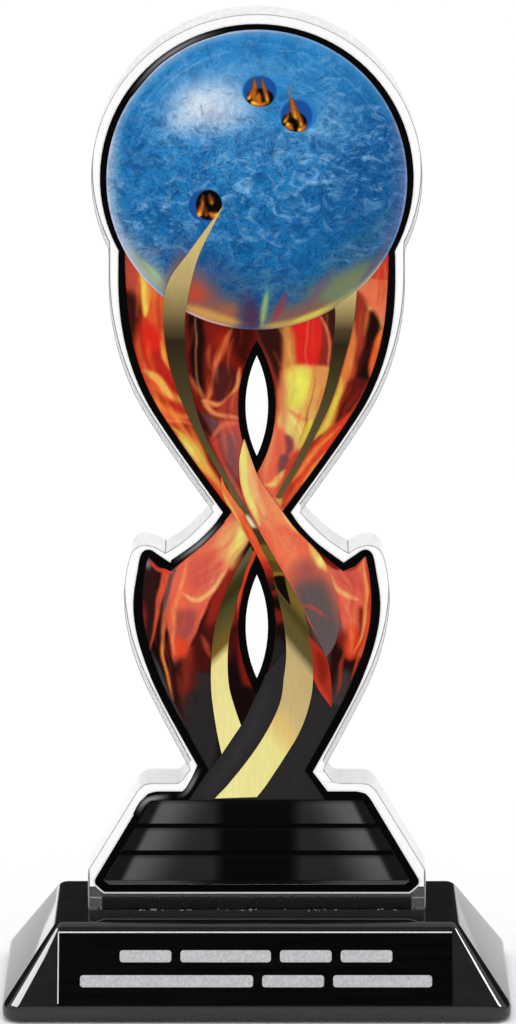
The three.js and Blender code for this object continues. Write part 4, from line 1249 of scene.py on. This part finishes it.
def glue_specks():
    """Tiny beads of squeezed-out glue round the foot of the plaque."""
    random = np.random.default_rng(5)
    glue = dull_material("glue_bead", "#6E726F", "#A9ADA9", 0.25, 900, 0.1)
    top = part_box("base_shell")[1].z / MM
    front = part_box("plaque_acrylic")[0].y / MM
    work = bmesh.new()
    for _ in range(46):
        x = random.choice([random.uniform(-30, -16), random.uniform(-10, 8), random.uniform(12, 36)])
        size = random.uniform(0.08, 0.26)
        y = front - abs(random.normal(0.4, 0.5)) - 0.1
        made = bmesh.ops.create_icosphere(work, subdivisions=2, radius=size * MM)
        for vert in made["verts"]:
            vert.co.x *= random.uniform(0.9, 1.3)
            vert.co.z = vert.co.z * 0.5 + (top + 0.1 * size) * MM
            vert.co.x += x * MM
            vert.co.y += y * MM
    mesh = bpy.data.meshes.new("glue_specks")
    work.to_mesh(mesh)
    work.free()
    specks = bpy.data.objects.new("glue_specks", mesh)
    scene.collection.objects.link(specks)
    mesh.materials.append(glue)
    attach(specks, "root")


glue_specks()

# ---- Floor, light and camera ----


def make_floor():
    n = Nodes("studio_floor")
    n.set(Base_Color=n.ramp(n.noise(3), (0.3, "#F2F2F2"), (0.7, "#F5F5F5")), Roughness=0.9,
          Specular_IOR_Level=0.1)
    reach = 6.0
    corners = [(-reach, -reach, 0), (reach, -reach, 0), (reach, reach, 0), (-reach, reach, 0)]
    floor = mesh_object("floor", corners, [(0, 1, 2, 3)], n.material, None)
    floor.location.z = -0.0002  # just under the felt, so that no two faces coincide


def studio_world():
    """Even pale light, brighter overhead, with dark cards that only reflections show: low behind, high
    in front, and thinly overhead."""
    n = Nodes("studio", world=True)
    scene.world = n.material
    place = n.add("ShaderNodeSeparateXYZ", Vector=n.place.node.outputs["Generated"])
    up, back = place.outputs["Z"], place.outputs["Y"]
    ray = n.add("ShaderNodeLightPath").outputs

    def span(value, *ends):
        return n.span(value, *ends, kind="SMOOTHSTEP")

    def times(one, *others):
        for other in others:
            one = n.math("MULTIPLY", one, other)
        return one

    def choose(switch, one, two):
        node = n.add("ShaderNodeMix", Factor=switch)
        n.feed(node.inputs[2], one)
        n.feed(node.inputs[3], two)
        return node.outputs[0]

    bright = span(up, 0.30, 0.95, 0.86, 1.28)
    back_card = times(span(up, 0.0, 0.05), span(up, 0.80, 0.62), span(back, 0.1, 0.3))
    front_card = times(span(up, 0.40, 0.52), span(up, 0.95, 0.85), span(back, -0.15, -0.35))
    mirrored = times(bright, span(back_card, 0.0, 1.0, 1.0, 0.045), span(front_card, 0.0, 1.0, 1.0, 0.22),
                     span(up, 0.86, 0.96, 1.0, 0.45))
    seen = choose(ray["Is Glossy Ray"], bright, mirrored)
    n.set(Strength=choose(ray["Is Camera Ray"], seen, 1.0), Color=(1, 1, 1, 1))


def soft_light(name, place, aim, size, power):
    light = bpy.data.lights.new(name, "AREA")
    light.shape = "RECTANGLE"
    light.size, light.size_y = size
    light.energy = power
    lamp = bpy.data.objects.new(name, light)
    scene.collection.objects.link(lamp)
    lamp.location = place
    lamp.rotation_euler = (Vector(aim) - Vector(place)).to_track_quat("-Z", "Y").to_euler()
    return lamp


def mirrored_light(name, place, aim, size, power):
    """A lamp that shows only as a reflection in the gloss of the base."""
    lamp = soft_light(name, place, aim, size, power)
    lamp.visible_diffuse = False
    lamp.visible_transmission = False
    lamp.visible_camera = False


def make_camera():
    data = bpy.data.cameras.new("camera")
    camera = bpy.data.objects.new("camera", data)
    scene.collection.objects.link(camera)
    distance, pitch = 1.410, math.radians(15)
    target = Vector((0.0003, 0, 0.497 * cad_high.z))
    camera.location = target + distance * Vector((0, -math.cos(pitch), math.sin(pitch)))
    camera.rotation_euler = (math.radians(90) - pitch, 0, 0)
    data.sensor_width = 36
    data.lens = 196.875
    data.clip_end = 50
    scene.camera = camera


make_floor()
studio_world()
soft_light("overhead", (0, 0, 2.0), (0, 0, 0), (1.6, 1.6), 3)
mirrored_light("edge_left", (-0.94, -0.60, 0.97), (0, 0, 0.02), (1.1, 0.5), 26)
mirrored_light("edge_right", (0.98, -0.52, 0.96), (0, 0, 0.02), (0.24, 0.6), 13)
mirrored_light("slope_left", (-0.36, 0.42, 0.0003), (-0.36, 0.42, 1), (0.5, 0.8), 1.6)
mirrored_light("slope_right", (0.36, 0.42, 0.0003), (0.36, 0.42, 1), (0.5, 0.8), 0.5)
make_camera()
scene.view_settings.view_transform = "Standard"
